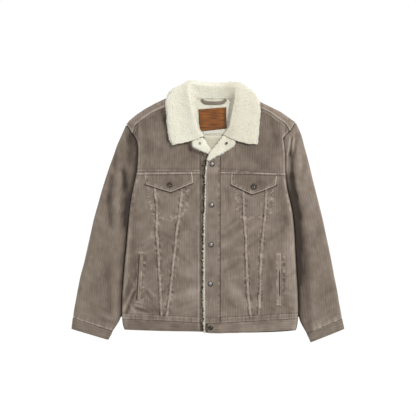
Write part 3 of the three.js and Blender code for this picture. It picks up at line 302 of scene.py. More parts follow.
def nubs(u, v, size, seed):
    """Round nubs packed side by side over a surface, from 0 between them to 1 on their crowns."""
    spread = np.random.default_rng(seed).uniform(0.12, 0.88, (97, 97, 2))
    s, t = np.asarray(u, float) / size, np.asarray(v, float) / size
    i, j = np.floor(s).astype(int), np.floor(t).astype(int)
    near = np.full(s.shape, 9.0)
    for a in (-1, 0, 1):
        for b in (-1, 0, 1):
            spot = spread[(i + a) % 97, (j + b) % 97]
            far = (i + a + spot[..., 0] - s) ** 2 + (j + b + spot[..., 1] - t) ** 2
            near = np.minimum(near, far)
    return np.sqrt(np.clip(1 - near / 0.72, 0, 1))


def fold_height(table, x, y):
    """Sum of the soft ridges and valleys of a table of folds."""
    total = np.zeros(np.broadcast(x, y).shape)
    for x0, y0, x1, y1, width, height in table:
        dx, dy = x1 - x0, y1 - y0
        length = math.hypot(dx, dy)
        along = ((x - x0) * dx + (y - y0) * dy) / length ** 2
        across = ((x - x0) * dy - (y - y0) * dx) / length
        beyond = np.maximum(np.maximum(-along, along - 1), 0) * length
        total += height * np.exp(-(beyond / (1.5 * width)) ** 2 - (across / width) ** 2)
    return total


def from_path(points, x, y):
    """Distance in plan from a path of straight lines, and how far along it that is."""
    best = np.full(np.broadcast(x, y).shape, 1e9)
    run_there = np.zeros(best.shape)
    run = 0
    for (x0, y0), (x1, y1) in zip(points, points[1:]):
        dx, dy = x1 - x0, y1 - y0
        length = math.hypot(dx, dy)
        s = np.clip(((x - x0) * dx + (y - y0) * dy) / length ** 2, 0, 1)
        far = np.hypot(x - x0 - s * dx, y - y0 - s * dy)
        run_there = np.where(far < best, run + s * length, run_there)
        best = np.minimum(best, far)
        run += length
    return best, run_there


def rounded_path(points, pitch=6):
    """A smooth path through points, in short straight steps."""
    p = np.array(points, float)
    run = np.concatenate([[0], np.cumsum(np.hypot(*np.diff(p, axis=0).T))])
    at = np.linspace(0, run[-1], max(int(run[-1] / pitch), 2))
    rows = np.column_stack([run, p])
    return list(zip(smooth(rows, 0, 1)(at), smooth(rows, 0, 2)(at)))


# Lines of the body

side_right, outer_right, inner_right = (smooth(RIGHT_LINES, 0, k) for k in (1, 2, 3))
side_left, outer_left, inner_left, front_edge = (smooth(LEFT_LINES, 0, k) for k in (1, 2, 3, 4))
waist_seam, hem = smooth(WAIST_LINES, 0, 1), smooth(WAIST_LINES, 0, 2)
bag_right, bag_left = rounded_path(BAG_RIGHT), rounded_path(BAG_LEFT)


def yoke_seam(x):
    return 111 - 12 * smoothstep(x, PLACKET_SEAM, side_left(111))


def yoke_row(x, y):
    """Worn edge along the yoke seam, and the dark line below it."""
    d = y - np.where(x < 0, 107.6 + 0.012 * (x + 22), lerp(108.6, 105.2, np.clip((x - 60) / 120, 0, 1)))
    worn = 0.95 + 0.55 * ripple(x, 9, 47) + 0.3 * ripple(x, 3.6, 48)
    return worn * bell(d, 1.7) - 0.75 * bell(d + 3.4, 1.4)


def no_lift(x):
    return np.zeros(np.shape(x))


def overlap_lift(x):
    return LAYER * (1 - smoothstep(x, LIFT_START, LIFT_END))


def seam_relief(d, s, seed, rise=2.3):
    """Raised seam sewn twice: its height, and how worn and pale it is."""
    d = d + 0.9 * ripple(s, 17, seed + 5) + 0.4 * ripple(s, 6, seed + 6)
    half = SEAM_HALF * (0.82 + 0.2 * ripple(s, 9, seed))
    a = np.abs(d)
    body = 1 - smoothstep(a, half - 1.2, half + 0.6)
    rope = 1 + 0.4 * ripple(s, 6.5, seed + 1) + 0.25 * ripple(s, 3.4, seed + 2)
    groove = 0.8 * bell(a - half - 0.9, 1.1)
    reach = bell(np.maximum(a - half, 0), 8) * (a > half)
    pucker = (1.0 * ripple(s + 0.8 * d, 7.5, seed + 3) + 0.5 * ripple(s - 0.5 * d, 4, seed + 8)) * reach
    worn = (0.62 + 0.4 * ripple(s, 7, seed + 4)) * bell(d - 0.9, 3.3)
    worn = worn + 0.4 * bell(d + 3.0, 1.3) * (0.4 + 0.9 * ripple(s, 3.6, seed + 7))
    worn = worn + 0.4 * bell(a - half - 1, 3) * ripple(s + 0.4 * d, 3.4, seed + 9)
    shade = (0.75 + 0.4 * ripple(s, 8, seed + 10)) * bell(d + half + 0.9, 1.2)
    shade = shade + 0.3 * bell(d - half - 1, 1.4)
    return rise * body * rope - groove + pucker, 1.15 * worn - 0.7 * shade + 0.35 * pucker


def bag_relief(points, x, y, seed):
    """Stitching of a pocket bag, drawn in and puckered."""
    d, s = from_path(points, x, y)
    d = np.abs(d + 0.9 * ripple(s, 10, seed + 3))
    ticks = np.clip(1.5 * mottle(0.5 * x, y, 2.7, seed) + 0.5 * ripple(s, 2.6, seed + 4), -1, 1)
    drawn = -0.8 * bell(d, 1.4) + 1.0 * bell(d - 1.5, 4.2) * ticks
    lower = smoothstep(-y, -40, -2)
    worn = bell(d, 1.4) * (0.5 + 0.7 * ripple(s, 4, seed + 1)) * (0.6 + 0.3 * lower)
    return drawn, 0.6 * worn + (0.5 * ticks + 0.1) * bell(d - 1.5, 4.4)


def side_drop(x, y):
    inside = np.where(x < 0, x - side_right(y), side_left(y) - x)
    roll = 1 - np.clip(inside / SIDE_ROLL, 0, 1)
    free = smoothstep(-y, -30, 40)
    return lerp(2.6, FRONT_WALL - SIDE_EDGE, free) * (1 - np.sqrt(1 - roll * roll))


def front(x, y, lifted=no_lift):
    """Height of the front's cloth, and its tone."""
    x, y = np.broadcast_arrays(np.asarray(x, float), np.asarray(y, float))
    above_yoke, above_waist = y - yoke_seam(x), y - waist_seam(x)
    below = above_yoke <= 0
    corner = 1 + 0.7 * smoothstep(-x, 150, 190) * smoothstep(-y, 200, 240)
    folds = fold_height(BODY_FOLDS, x, y) + 1.3 * corner * fold_height(BODY_CREASES, x, y)
    z = FRONT_WALL + folds + 0.35 * mottle(x, y, 34, 3) + 0.22 * mottle(x, y, 13, 4)
    # Tone: mottled, with painted light on the folds' crests and painted shade in their valleys, and the
    # painted shade of YOKE_SHADES
    tone = 0.16 * mottle(x, y, 26, 5) + 0.1 * mottle(x, y, 9, 6) + 0.2 * np.clip(folds, -3, 2)
    worn = bell(x + 48, 27) * smoothstep(-y, -40, 60) * smoothstep(y, -300, -230)
    tone = tone + 0.36 * worn - 0.2 * smoothstep(above_yoke, 0, 3) + fold_height(YOKE_SHADES, x, y)
    # Long seams
    seams = [
        (outer_right, 11, x < 0), (inner_right, 12, x < 0),
        (inner_left, 13, x > 0), (outer_left, 14, x > 0),
    ]
    for seam, seed, side in seams:
        rise, worn = seam_relief(x - seam(y), y, seed * 10)
        on = (below & side) * smoothstep(-above_yoke, 1, 6) * smoothstep(above_waist, 9, 15)
        z = z + rise * on
        tone = tone + worn * on
    # Shade below the flaps
    for path, side in ((FLAPS[0][1], x < 0), (FLAPS[1][1], x > 0)):
        under = np.interp(x, *np.array(path, float).T) - y
        reached = side * (x > path[0][0] - 2) * (x < path[-1][0])
        tone = tone - 1.1 * bell(under - 1, 2.4) * reached
    # Pocket bags, and puckers beside the welts, each with painted light and shade on its puckers
    for path, seed, side in ((bag_right, 21, x < 0), (bag_left, 22, x > 0)):
        rise, worn = bag_relief(path, x, y, seed * 10)
        z = z + rise * (below & side)
        tone = tone + worn * (below & side)
    for middle, seed, side in ((-181, 45, x < 0), (211.5, 46, x > 0)):
        lean = 0.05 * (y + 190) * (x < 0)
        near = np.exp(-((x - middle - lean) / 5.5) ** 4) * smoothstep(y, -268, -240)
        near = near * (1 - smoothstep(y, -130, -108))
        ticks = near * side * np.clip(1.8 * mottle(0.45 * x, y + 0.25 * x, 3.6, seed), -1, 1)
        z = z + 0.8 * ticks
        tone = tone + 0.55 * ticks
    # Seams of the yoke and of the waist, each lapped and sewn, with painted shade in the yoke's groove and
    # below its lap, and a painted shadow line under the waist's lap
    yoke_lap = np.where(below, 0, 1 - smoothstep(above_yoke, 6, 8.5))
    groove = bell(above_yoke - 7.5, 1.2)
    z = z + 1.3 * yoke_lap * (1 + 0.3 * ripple(x, 8, 31)) - 0.6 * groove
    tone = tone + yoke_lap * (0.12 + 0.3 * ripple(x, 7, 32)) - 0.5 * groove + yoke_row(x, y)
    waist_lap = np.where(above_waist > 0, 1 - smoothstep(above_waist, 14, 17), 0)
    waist_rows = bell(above_waist - 2.4, 1.1) + bell(above_waist - 12.5, 1.1)
    z = z + waist_lap * (0.9 + 0.45 * ripple(x, 4.4, 33)) - 0.3 * waist_rows
    tone = tone + waist_lap * (0.05 + 0.28 * ripple(x, 3.4, 34))
    tone = tone + waist_rows * (0.45 + 0.4 * ripple(x, 8, 39)) - 0.55 * bell(above_waist - 15.2, 1.2)
    near_waist = bell(np.maximum(above_waist - 16, 0), 22) * (above_waist > 0)
    z = z + 0.55 * near_waist * ripple(x + 0.2 * y, 9, 35)
    # Ridge beside the armhole, painted shade where the sides meet the sleeves, the edge of the under front
    # with a painted shadow beside the upper front, the rolled sides and the hem
    inset = np.where(x < 0, x - side_right(y), side_left(y) - x)
    armhole = bell(inset - 5, 2.2) * smoothstep(y, -40, 20) * below
    z = z + armhole * (1.2 + 0.7 * ripple(y, 7, 36))
    tone = tone + armhole * (np.where(x < 0, -0.05, 0.5) + 0.6 * ripple(y, 6, 37))
    tone = tone - 0.7 * bell(np.maximum(inset, 0), 2.2)
    edge_line = (0.25 + 0.4 * smoothstep(-y, 40, 120)) * bell(x + 26, 1.5)
    tone = tone + (edge_line - 0.9 * smoothstep(x + 1.7 * ripple(y, 3.6, 38), -23.4, -20.6)) * (x < 0)
    edge_share = np.clip(1 - side_drop(x, y) / (FRONT_WALL - SIDE_EDGE), 0.12, 1)
    from_hem = y - hem(x)
    z = lerp(SIDE_EDGE, z, edge_share) - 4.5 * (1 - np.clip(from_hem / 7, 0, 1)) ** 2
    tone = tone + 0.5 * bell((1 - edge_share) - 0.3, 0.25) * (edge_share < 0.98)
    return FRONT_UNDER + lifted(x) + np.maximum(z, SIDE_EDGE), tone


# Meshes

def wale_columns(low, high):
    return np.arange(math.floor(low / STEP), math.ceil(high / STEP) + 1) * STEP


def wale_relief(u):
    valley = np.round(np.asarray(u) / STEP).astype(int) % 3 == 0
    return np.where(valley, -0.3, 0.14)


def rows_between(low, high, start, end, step):
    """Heights from one line to another in every column: fixed distances at both ends, even steps between."""
    count = max(int(np.max(high - low) / step), 2)
    share = np.linspace(0, 1, count)[1:-1, None]
    first = np.array(start, float)[:, None] + low[None]
    last = high[None] - np.array(end, float)[::-1, None]
    return np.concatenate([first, lerp(first[-1], last[0], share), last])


class Skin:
    """A grid of cloth with the ring of its edge turned down, ready to become a mesh."""

    def __init__(self, x, y, z, uv, tone=None, inside=None):
        rows, cols = x.shape
        inside = np.ones((rows, cols), bool) if inside is None else inside
        first, last = inside.argmax(axis=1), cols - 1 - inside[:, ::-1].argmax(axis=1)
        none = ~inside.any(axis=1)
        first[none] = last[none] = cols // 2
        self.low, self.high = np.maximum(first - 1, 0), np.minimum(last + 1, cols - 1)
        column = np.clip(np.arange(cols)[None], self.low[:, None], self.high[:, None])
        index = np.arange(rows)[:, None] * cols + column
        a, b, c, d = index[:-1, :-1], index[:-1, 1:], index[1:, 1:], index[1:, :-1]
        flat_low, flat_high = a == b, c == d
        self.quads = np.stack([a, b, c, d], -1)[~flat_low & ~flat_high]
        self.tris = np.concatenate([
            np.stack([a, c, d], -1)[flat_low & ~flat_high], np.stack([a, b, c], -1)[~flat_low & flat_high],
        ])
        self.points = np.stack([x, y, z], -1).reshape(-1, 3)
        self.uv = np.stack(np.broadcast_arrays(*uv), -1).reshape(-1, 2)
        self.tone = (np.zeros(x.shape) if tone is None else tone).reshape(-1)
        up = range(1, rows - 1)
        self.loop = np.concatenate([
            index[0, self.low[0]:self.high[0] + 1], [index[i, self.high[i]] for i in up],
            index[-1, self.low[-1]:self.high[-1] + 1][::-1], [index[i, self.low[i]] for i in reversed(up)],
        ]).astype(int)
        self.rim = self.loop
        self.rows = rows
        self.faces = []

    def turn_under(self, rings):
        """Adds rings below the edge, each an inset in plan and a height that may depend on the place."""
        at, previous = self.points[self.rim], self.rim
        ahead = np.roll(at, -2, axis=0) - np.roll(at, 2, axis=0)
        inward = np.stack([-ahead[:, 1], ahead[:, 0]], -1)
        inward /= np.maximum(np.linalg.norm(inward, axis=1), 1e-9)[:, None]
        after = np.roll(np.arange(len(at)), -1)
        for inset, height in rings:
            plan = at[:, :2] + inward * np.reshape(inset, (-1, 1))
            level = height(at[:, 0], at[:, 1]) if callable(height) else height
            ring = np.arange(len(at)) + len(self.points)
            lowered = np.column_stack([plan, np.broadcast_to(level, len(at))])
            self.points = np.concatenate([self.points, lowered])
            self.uv = np.concatenate([self.uv, self.uv[self.loop] + 0.002])
            self.tone = np.concatenate([self.tone, self.tone[self.loop] - 0.15])
            self.faces += np.stack([previous, ring, ring[after], previous[after]], -1).tolist()
            previous = ring
        self.rim = previous
        return self

    def fringe(self, reach, seed):
        """Lets the edge bulge out in uneven tufts."""
        at = self.points[self.loop]
        run = np.concatenate([[0], np.cumsum(np.linalg.norm(np.diff(at, axis=0), axis=1))])
        tufts = reach * (0.6 + 0.5 * ripple(run, 5.4, seed) + 0.35 * ripple(run, 2.3, seed + 1))
        return self.turn_under([(-tufts, at[:, 2] - 1.3), (-0.75 * tufts, at[:, 2] - 3.4)])

    def close_under(self):
        """Closes the underside to a seam along its middle, where the two edges meet unsewn in the mesh."""
        bottom = self.high[0] - self.low[0] + 1
        right = self.rim[bottom:bottom + self.rows - 2]
        left = self.rim[::-1][:self.rows - 2]
        middle = (self.points[right] + self.points[left]) / 2
        for side, step in ((right, 1), (left, -1)):
            seam = np.arange(len(middle)) + len(self.points)
            self.points = np.concatenate([self.points, middle])
            self.uv = np.concatenate([self.uv, (self.uv[right] + self.uv[left]) / 2])
            self.tone = np.concatenate([self.tone, self.tone[side]])
            strip = np.stack([side[:-1], seam[:-1], seam[1:], side[1:]], -1)
            self.faces += strip[:, ::step].tolist()
        return self

    def build(self, name, material, flip=False):
        """Makes the mesh and its object, from the points that its faces use."""
        faces = self.quads.tolist() + self.tris.tolist() + self.faces
        used = np.unique(np.concatenate([self.quads.ravel(), self.tris.ravel(), *map(np.array, self.faces)]))
        number = np.zeros(len(self.points), int)
        number[used] = np.arange(len(used))
        step = -1 if flip else 1
        mesh = bpy.data.meshes.new(name)
        mesh.from_pydata((self.points[used] * MM).tolist(), [], [number[f][::step].tolist() for f in faces])
        return dress(mesh, name, material, self.uv[used] * MM, self.tone[used])


def added(name, data):
    """A new object in the scene."""
    obj = bpy.data.objects.new(name, data)
    bpy.context.scene.collection.objects.link(obj)
    return obj


def dress(mesh, name, material, uv=None, tone=None):
    """Gives a mesh its UVs, tone and material, and puts it in the scene."""
    mesh.validate()
    if uv is not None:
        corner = np.empty(len(mesh.loops), int)
        mesh.loops.foreach_get("vertex_index", corner)
        mesh.uv_layers.new(name="UVMap").data.foreach_set("uv", uv[corner].astype(np.float32).ravel())
    if tone is not None:
        mesh.attributes.new("tone", "FLOAT", "POINT").data.foreach_set("value", tone.astype(np.float32))
    mesh.shade_smooth()
    mesh.materials.append(material)
    return added(name, mesh)


def place(obj, slot, *nodes):
    """Says what an object moves with, its material slot and the solids that it stands for."""
    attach(obj, "root")
    if nodes:
        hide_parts(*nodes)


def corduroy_piece(skin, name, nodes=(), flip=False):
    """Finishes a piece of corduroy, named for the solid that it stands for or given several."""
    obj = skin.build(name if nodes else name + "_cloth", material_of("corduroy"), flip)
    place(obj, "corduroy", *(nodes or (name,)))


def cut_panel(low_x, high_x, bottom, top, left=None, right=None, start=(0,), end=(0,), step=4.0):
    """Grid of upright wales between two cross lines, cut off by the side lines."""
    xs = wale_columns(low_x, high_x)
    y = rows_between(bottom(xs), top(xs), start, end, step)
    x = np.broadcast_to(xs, y.shape).astype(float)
    inside = np.ones(y.shape, bool)
    if left is not None:
        edge = left(y) + GAP / 2
        inside &= x > edge
        x = np.maximum(x, edge)
    if right is not None:
        edge = right(y) - GAP / 2
        inside &= x < edge
        x = np.minimum(x, edge)
    relief = np.where(inside, wale_relief(xs)[None], 0)
    return x, y, inside, relief


# Materials

def node(tree, kind, inputs=None, **settings):
    made = tree.nodes.new(kind)
    for key, value in settings.items():
        setattr(made, key, value)
    for key, value in (inputs or {}).items():
        if isinstance(value, bpy.types.NodeSocket):
            tree.links.new(value, made.inputs[key])
        else:
            made.inputs[key].default_value = value
    return made


def maths(tree, operation, a, b=0.0):
    return node(tree, "ShaderNodeMath", {0: a, 1: b}, operation=operation).outputs[0]


def mixed(tree, factor, a, b):
    return node(tree, "ShaderNodeMix", {"Factor": factor, 6: a, 7: b}, data_type="RGBA").outputs[2]


def group(name, kind_of_tree, inputs, outputs):
    """An empty node group with its sockets, and its input and output nodes."""
    tree = bpy.data.node_groups.new(name, kind_of_tree)
    for label, kind, value in inputs:
        made = tree.interface.new_socket(label, in_out="INPUT", socket_type=kind)
        if value is not None:
            made.default_value = value
    for label, kind in outputs:
        tree.interface.new_socket(label, in_out="OUTPUT", socket_type=kind)
    return tree, tree.nodes.new("NodeGroupInput"), tree.nodes.new("NodeGroupOutput")


def fibre_group():
    """Loose fibres and blotches that every cloth here shares: one value for colour, one for height."""
    made = bpy.data.node_groups.get("Fibres")
    if made:
        return made
    tree, entry, out = group(
        "Fibres", "ShaderNodeTree",
        [("Fibre Scale", "NodeSocketFloat", 900.0), ("Blotch Scale", "NodeSocketFloat", 24.0)],
        [("Fibre", "NodeSocketFloat"), ("Blotch", "NodeSocketFloat")],
    )
    place_at = node(tree, "ShaderNodeTexCoord").outputs["Object"]
    fibre = node(tree, "ShaderNodeTexNoise", {
        "Vector": place_at, "Scale": entry.outputs["Fibre Scale"], "Detail": 3.0, "Roughness": 0.65,
    })
    blotch = node(tree, "ShaderNodeTexNoise", {
        "Vector": place_at, "Scale": entry.outputs["Blotch Scale"], "Detail": 4.0, "Roughness": 0.6,
    })
    tree.links.new(fibre.outputs[0], out.inputs["Fibre"])
    tree.links.new(blotch.outputs[0], out.inputs["Blotch"])
    return tree


def bump(tree, height, strength, distance, **under):
    """Bump from a height, over another where one is given."""
    inputs = {"Height": height, "Strength": strength, "Distance": distance, **under}
    return node(tree, "ShaderNodeBump", inputs).outputs[0]


def coloured(tree, value, *stops):
    """Colours by a value, from the place and colour of each stop. The first two are the ends."""
    made = node(tree, "ShaderNodeValToRGB", {0: value})
    elements = made.color_ramp.elements
    for k, (position, colour) in enumerate(stops):
        stop = elements[k] if k < 2 else elements.new(position)
        stop.position, stop.color = position, (*colour, 1)
    return made.outputs[0]


def tone_of(tree):
    return node(tree, "ShaderNodeAttribute", attribute_name="tone").outputs["Fac"]


def new_material(name, roughness, **constants):
    material = bpy.data.materials.new("dressed " + name)
    material.use_nodes = True
    tree = material.node_tree
    shader = tree.nodes["Principled BSDF"]
    shader.inputs["Roughness"].default_value = roughness
    for key, value in constants.items():
        shader.inputs[key.replace("_", " ")].default_value = value
    return material, tree, shader


def corduroy(settings):
    """Wales across U, worn streaks along V, nap blotches, and the tone that seams and folds carry."""
    material, tree, shader = new_material(
        "corduroy", 0.92, Sheen_Weight=0.22, Sheen_Roughness=0.45, Specular_IOR_Level=0.2,
    )
    shader.inputs["Sheen Tint"].default_value = (0.9, 0.82, 0.74, 1)
    uv = node(tree, "ShaderNodeUVMap", uv_map="UVMap").outputs[0]
    split = node(tree, "ShaderNodeSeparateXYZ", {0: uv})
    across = split.outputs[0]
    wale = maths(tree, "COSINE", maths(tree, "MULTIPLY", across, 2 * math.pi / (WALE * MM)))
    drift = node(tree, "ShaderNodeTexNoise", {"Vector": uv, "Scale": 14.0, "Detail": 1.0})
    swayed = maths(tree, "MULTIPLY_ADD", across, 2 * math.pi / 0.0068)
    swayed.node.inputs[2].default_value = 0
    tree.links.new(maths(tree, "MULTIPLY", drift.outputs[0], 6.0), swayed.node.inputs[2])
    band = maths(tree, "SINE", swayed)
    stretched = node(tree, "ShaderNodeCombineXYZ", {
        0: maths(tree, "MULTIPLY", across, 380.0), 1: maths(tree, "MULTIPLY", split.outputs[1], 26.0),
    })
    streak = node(tree, "ShaderNodeTexNoise", {"Vector": stretched.outputs[0], "Scale": 1.0, "Detail": 2.0})
    fibres = node(tree, "ShaderNodeGroup", node_tree=fibre_group())
    tone = tone_of(tree)
    # Darker between the wales, as painted shade
    value = maths(tree, "MULTIPLY", wale, -0.1)
    for part, weight, middle in (
        (band, 0.03, 0.0), (streak.outputs[0], 0.36, 0.5), (fibres.outputs["Blotch"], 0.3, 0.5),
        (fibres.outputs["Fibre"], 0.3, 0.5), (tone, 0.42, 0.0),
    ):
        share = maths(tree, "MULTIPLY", maths(tree, "SUBTRACT", part, middle), weight)
        value = maths(tree, "ADD", value, share)
    colour = coloured(
        tree, maths(tree, "ADD", value, 0.5), (0.0, settings.cloth_dark), (1.0, settings.cloth_light),
        (0.5, settings.cloth_colour),
    )
    tree.links.new(colour, shader.inputs["Base Color"])
    ribs = bump(tree, maths(tree, "MULTIPLY", wale, -1.0), 0.55, 0.0004)
    nap = bump(tree, fibres.outputs["Fibre"], 0.35, 0.0006, Normal=ribs)
    tree.links.new(nap, shader.inputs["Normal"])
    return material


def sherpa(settings):
    """Curled pile: cream on the crowns, warmer between the nubs."""
    material, tree, shader = new_material(
        "sherpa", 1.0, Sheen_Weight=0.3, Sheen_Roughness=0.6, Specular_IOR_Level=0.1, Subsurface_Weight=0.4,
        Subsurface_Scale=0.012,
    )
    shader.inputs["Subsurface Radius"].default_value = (1.0, 0.9, 0.7)
    scales = {"Fibre Scale": 620.0, "Blotch Scale": 60.0}
    fibres = node(tree, "ShaderNodeGroup", scales, node_tree=fibre_group())
    value = maths(tree, "ADD", maths(tree, "MULTIPLY", tone_of(tree), 0.5), 0.5)
    for part, weight in ((fibres.outputs["Blotch"], 0.35), (fibres.outputs["Fibre"], 0.3)):
        share = maths(tree, "MULTIPLY", maths(tree, "SUBTRACT", part, 0.5), weight)
        value = maths(tree, "ADD", value, share)
    colour = coloured(tree, value, (0.0, settings.pile_dark), (0.75, settings.pile_colour))
    tree.links.new(colour, shader.inputs["Base Color"])
    tree.links.new(bump(tree, fibres.outputs["Fibre"], 0.5, 0.0012), shader.inputs["Normal"])
    return material


def leather():
    """Smooth tan leather with fine grain, darker where it was handled."""
    material, tree, shader = new_material("leather", 0.6, Specular_IOR_Level=0.2)
    at = node(tree, "ShaderNodeTexCoord").outputs["Object"]
    grain = node(tree, "ShaderNodeTexVoronoi", {"Vector": at, "Scale": 900.0})
    split = node(tree, "ShaderNodeSeparateXYZ", {0: at})
    lengthways = node(tree, "ShaderNodeCombineXYZ", {
        0: maths(tree, "MULTIPLY", split.outputs[0], 34.0),
        1: maths(tree, "MULTIPLY", split.outputs[1], 330.0),
    })
    cloud = node(tree, "ShaderNodeTexNoise", {"Vector": lengthways.outputs[0], "Scale": 1.0, "Detail": 4.0})
    value = maths(tree, "ADD", cloud.outputs[0], maths(tree, "MULTIPLY", tone_of(tree), 0.3))
    colour = coloured(tree, value, (0.25, (0.062, 0.023, 0.006)), (0.75, (0.21, 0.068, 0.010)))
    tree.links.new(colour, shader.inputs["Base Color"])
    tree.links.new(bump(tree, grain.outputs["Distance"], 0.3, 0.0004), shader.inputs["Normal"])
    return material


def woven(name, dark, light, threads):
    """Narrow woven tape or label: threads both ways, in UV."""
    material, tree, shader = new_material(name, 0.85, Sheen_Weight=0.15, Specular_IOR_Level=0.2)
    uv = node(tree, "ShaderNodeUVMap", uv_map="UVMap").outputs[0]
    weave = node(tree, "ShaderNodeTexChecker", {"Vector": uv, "Scale": threads})
    fibres = node(tree, "ShaderNodeGroup", node_tree=fibre_group())
    colour = mixed(tree, fibres.outputs["Blotch"], dark, light)
    tree.links.new(colour, shader.inputs["Base Color"])
    tree.links.new(bump(tree, weave.outputs["Fac"], 0.4, 0.0003), shader.inputs["Normal"])
    return material


def thread(colour):
    material, tree, shader = new_material("thread", 0.7, Sheen_Weight=0.2)
    fibres = node(tree, "ShaderNodeGroup", {"Fibre Scale": 1500.0}, node_tree=fibre_group())
    pale = tuple(min(c * 1.5, 1) for c in colour)
    worn = mixed(tree, fibres.outputs["Fibre"], (*colour, 1), (*pale, 1))
    tree.links.new(worn, shader.inputs["Base Color"])
    return material


def old_steel(name, dark, light):
    """Dark plated steel, rubbed brighter in places."""
    material, tree, shader = new_material(name, 0.38, Metallic=0.85)
    at = node(tree, "ShaderNodeTexCoord").outputs["Object"]
    rub = node(tree, "ShaderNodeTexNoise", {"Vector": at, "Scale": 260.0, "Detail": 4.0})
    colour = mixed(tree, rub.outputs[0], dark, light)
    tree.links.new(colour, shader.inputs["Base Color"])
    rough = node(tree, "ShaderNodeMapRange", {0: rub.outputs[0], 3: 0.28, 4: 0.5})
    tree.links.new(rough.outputs[0], shader.inputs["Roughness"])
    return material


def material_of(name):
    made = bpy.data.materials.get("dressed " + name)
    if made:
        return made
    cloth = bpy.context.scene.jacket_cloth
    makers = {
        "corduroy": lambda: corduroy(cloth),
        "sherpa": lambda: sherpa(cloth),
        "leather": leather,
        "tape": lambda: woven("tape", (0.11, 0.088, 0.07, 1), (0.2, 0.17, 0.14, 1), 1400.0),
        "label": lambda: woven("label", (0.42, 0.41, 0.35, 1), (0.54, 0.53, 0.47, 1), 2400.0),
        "thread": lambda: thread(tuple(cloth.thread_colour)),
        # Bright steel for the painted glints on the snaps' crowns
        "snap glint steel": lambda: old_steel("snap glint steel", (0.09, 0.086, 0.082, 1), (0.4, 0.385, 0.365, 1)),
        "snap bronze": lambda: old_steel("snap bronze", (0.018, 0.014, 0.011, 1), (0.09, 0.075, 0.06, 1)),
    }
    return makers[name]()


# Corduroy body

def above_yoke_seam(x):
    return yoke_seam(x) + GAP


def underside(lifted):
    """Height of a front's underside, which rises where it laps over the other front."""
    return lambda x, y: FRONT_UNDER + lifted(x)


def overlap_edge(y):
    """Edge of the upper front's corduroy, behind the pile."""
    return front_edge(y) + EDGE_PILE


def build_fronts():
    """Each front's three panels as one sheet, so that wales and creases run on under the long seams."""
    shapes = [
        ("body_right", -243, UNDER_PLACKET, side_right, unchanging(UNDER_PLACKET), no_lift, (225, 425),
         ("front_side_right", "front_middle_right", "front_centre_right")),
        ("body_left", PLACKET_SEAM, 255, unchanging(PLACKET_SEAM), side_left, overlap_lift, (220, 425),
         ("front_centre_left", "front_middle_left", "front_side_left")),
    ]
    for name, low, high, left, right, lifted, flat, nodes in shapes:
        x, y, inside, relief = cut_panel(
            low, high, waist_seam, yoke_seam, left, right, start=WAIST_ROWS, end=YOKE_ROWS, step=2.6)
        z, tone = front(x, y, lifted)
        skin = Skin(x, y, z + relief, (x, y), tone, inside).turn_under([(0, underside(lifted))])
        corduroy_piece(skin, name, nodes)


YOKE_RIGHT_ARMHOLE = [
    (-198.8, 111), (-196.6, 135), (-195.6, 165), (-197, 190), (-201, 204), (-210.6, 217.6), (-203.5, 240),
    (-183, 256.5), (-155, 275.5), (-117, 292.7), (-84, 306), (-60, 313),
]
YOKE_RIGHT_NECK = [(-21.3, 111), (-21.3, 170), (-22.5, 208), (-32, 224), (-42, 246), (-50, 276), (-60, 313)]
YOKE_LEFT_NECK = [(35.3, 99), (35.3, 160), (36.5, 191), (53.5, 211), (69, 238), (75, 264), (80, 314)]
YOKE_LEFT_ARMHOLE = [
    (217, 99), (217, 130), (216, 162), (213.6, 184), (210.6, 206), (227.4, 224), (226, 229), (216, 245),
    (195, 258.6), (174, 275.4), (143, 289.6), (110, 303), (80, 314),
]


def yoke_surface(x, y, edge_points, lifted):
    """Front surface with a sewn ridge beside the armhole and the shoulder seam."""
    z, tone = front(x, y, lifted)
    d, s = from_path(edge_points, x, y)
    ridge = 1 - smoothstep(d, 5, 7)
    z = z + 0.7 * ridge * (1 + 0.3 * ripple(s, 8, 41)) - 0.3 * bell(d - 6.4, 1.1)
    tone = tone + ridge * (np.where(x < 0, 0.1, 0.35) + 0.3 * ripple(s, 9, 42)) - 0.25 * bell(d - 7, 1.4)
    return z - 0.8 * bell(d, 1.0), tone


def build_yokes():
    shapes = [
        ("yoke_right", -212, -21, YOKE_RIGHT_ARMHOLE, YOKE_RIGHT_NECK, YOKE_RIGHT_ARMHOLE, no_lift, 313),
        ("yoke_left", 35, 228, YOKE_LEFT_NECK, YOKE_LEFT_ARMHOLE, YOKE_LEFT_ARMHOLE, overlap_lift, 314),
    ]
    for name, low, high, left, right, sewn, lifted, top in shapes:
        x, y, inside, relief = cut_panel(
            low, high, above_yoke_seam, unchanging(top), straight(left, 1), straight(right, 1),
            start=(0, 1, 2.2, 4, 5.6, 7.2, 9), end=(0, 2), step=4.2)
        z, tone = yoke_surface(x, y, sewn, lifted)
        skin = Skin(x, y, z + relief, (x, y), tone, inside).turn_under([(0, underside(lifted))])
        corduroy_piece(skin, name)


# Shoulder strips: name, lower edge, upper edge
STRIPS = [
    ("shoulder_strip_right",
     [(-228, 244.3), (-211.2, 218.4), (-204, 241), (-183.4, 257.2), (-155.3, 276.3), (-117.3, 293.5),
      (-82, 307.4)],
     [(-228, 244.5), (-221, 254), (-202, 270), (-177, 287), (-148, 303), (-112, 320), (-82, 334)]),
    ("shoulder_strip_left",
     [(98, 308.4), (143.3, 290.4), (174.4, 276.2), (195.5, 259.4), (216.8, 245.6), (227, 229.6),
      (228.6, 224.6), (245, 250)],
     [(98, 328.6), (120, 320), (143, 309), (166, 298), (206, 278), (245, 250.2)]),
]


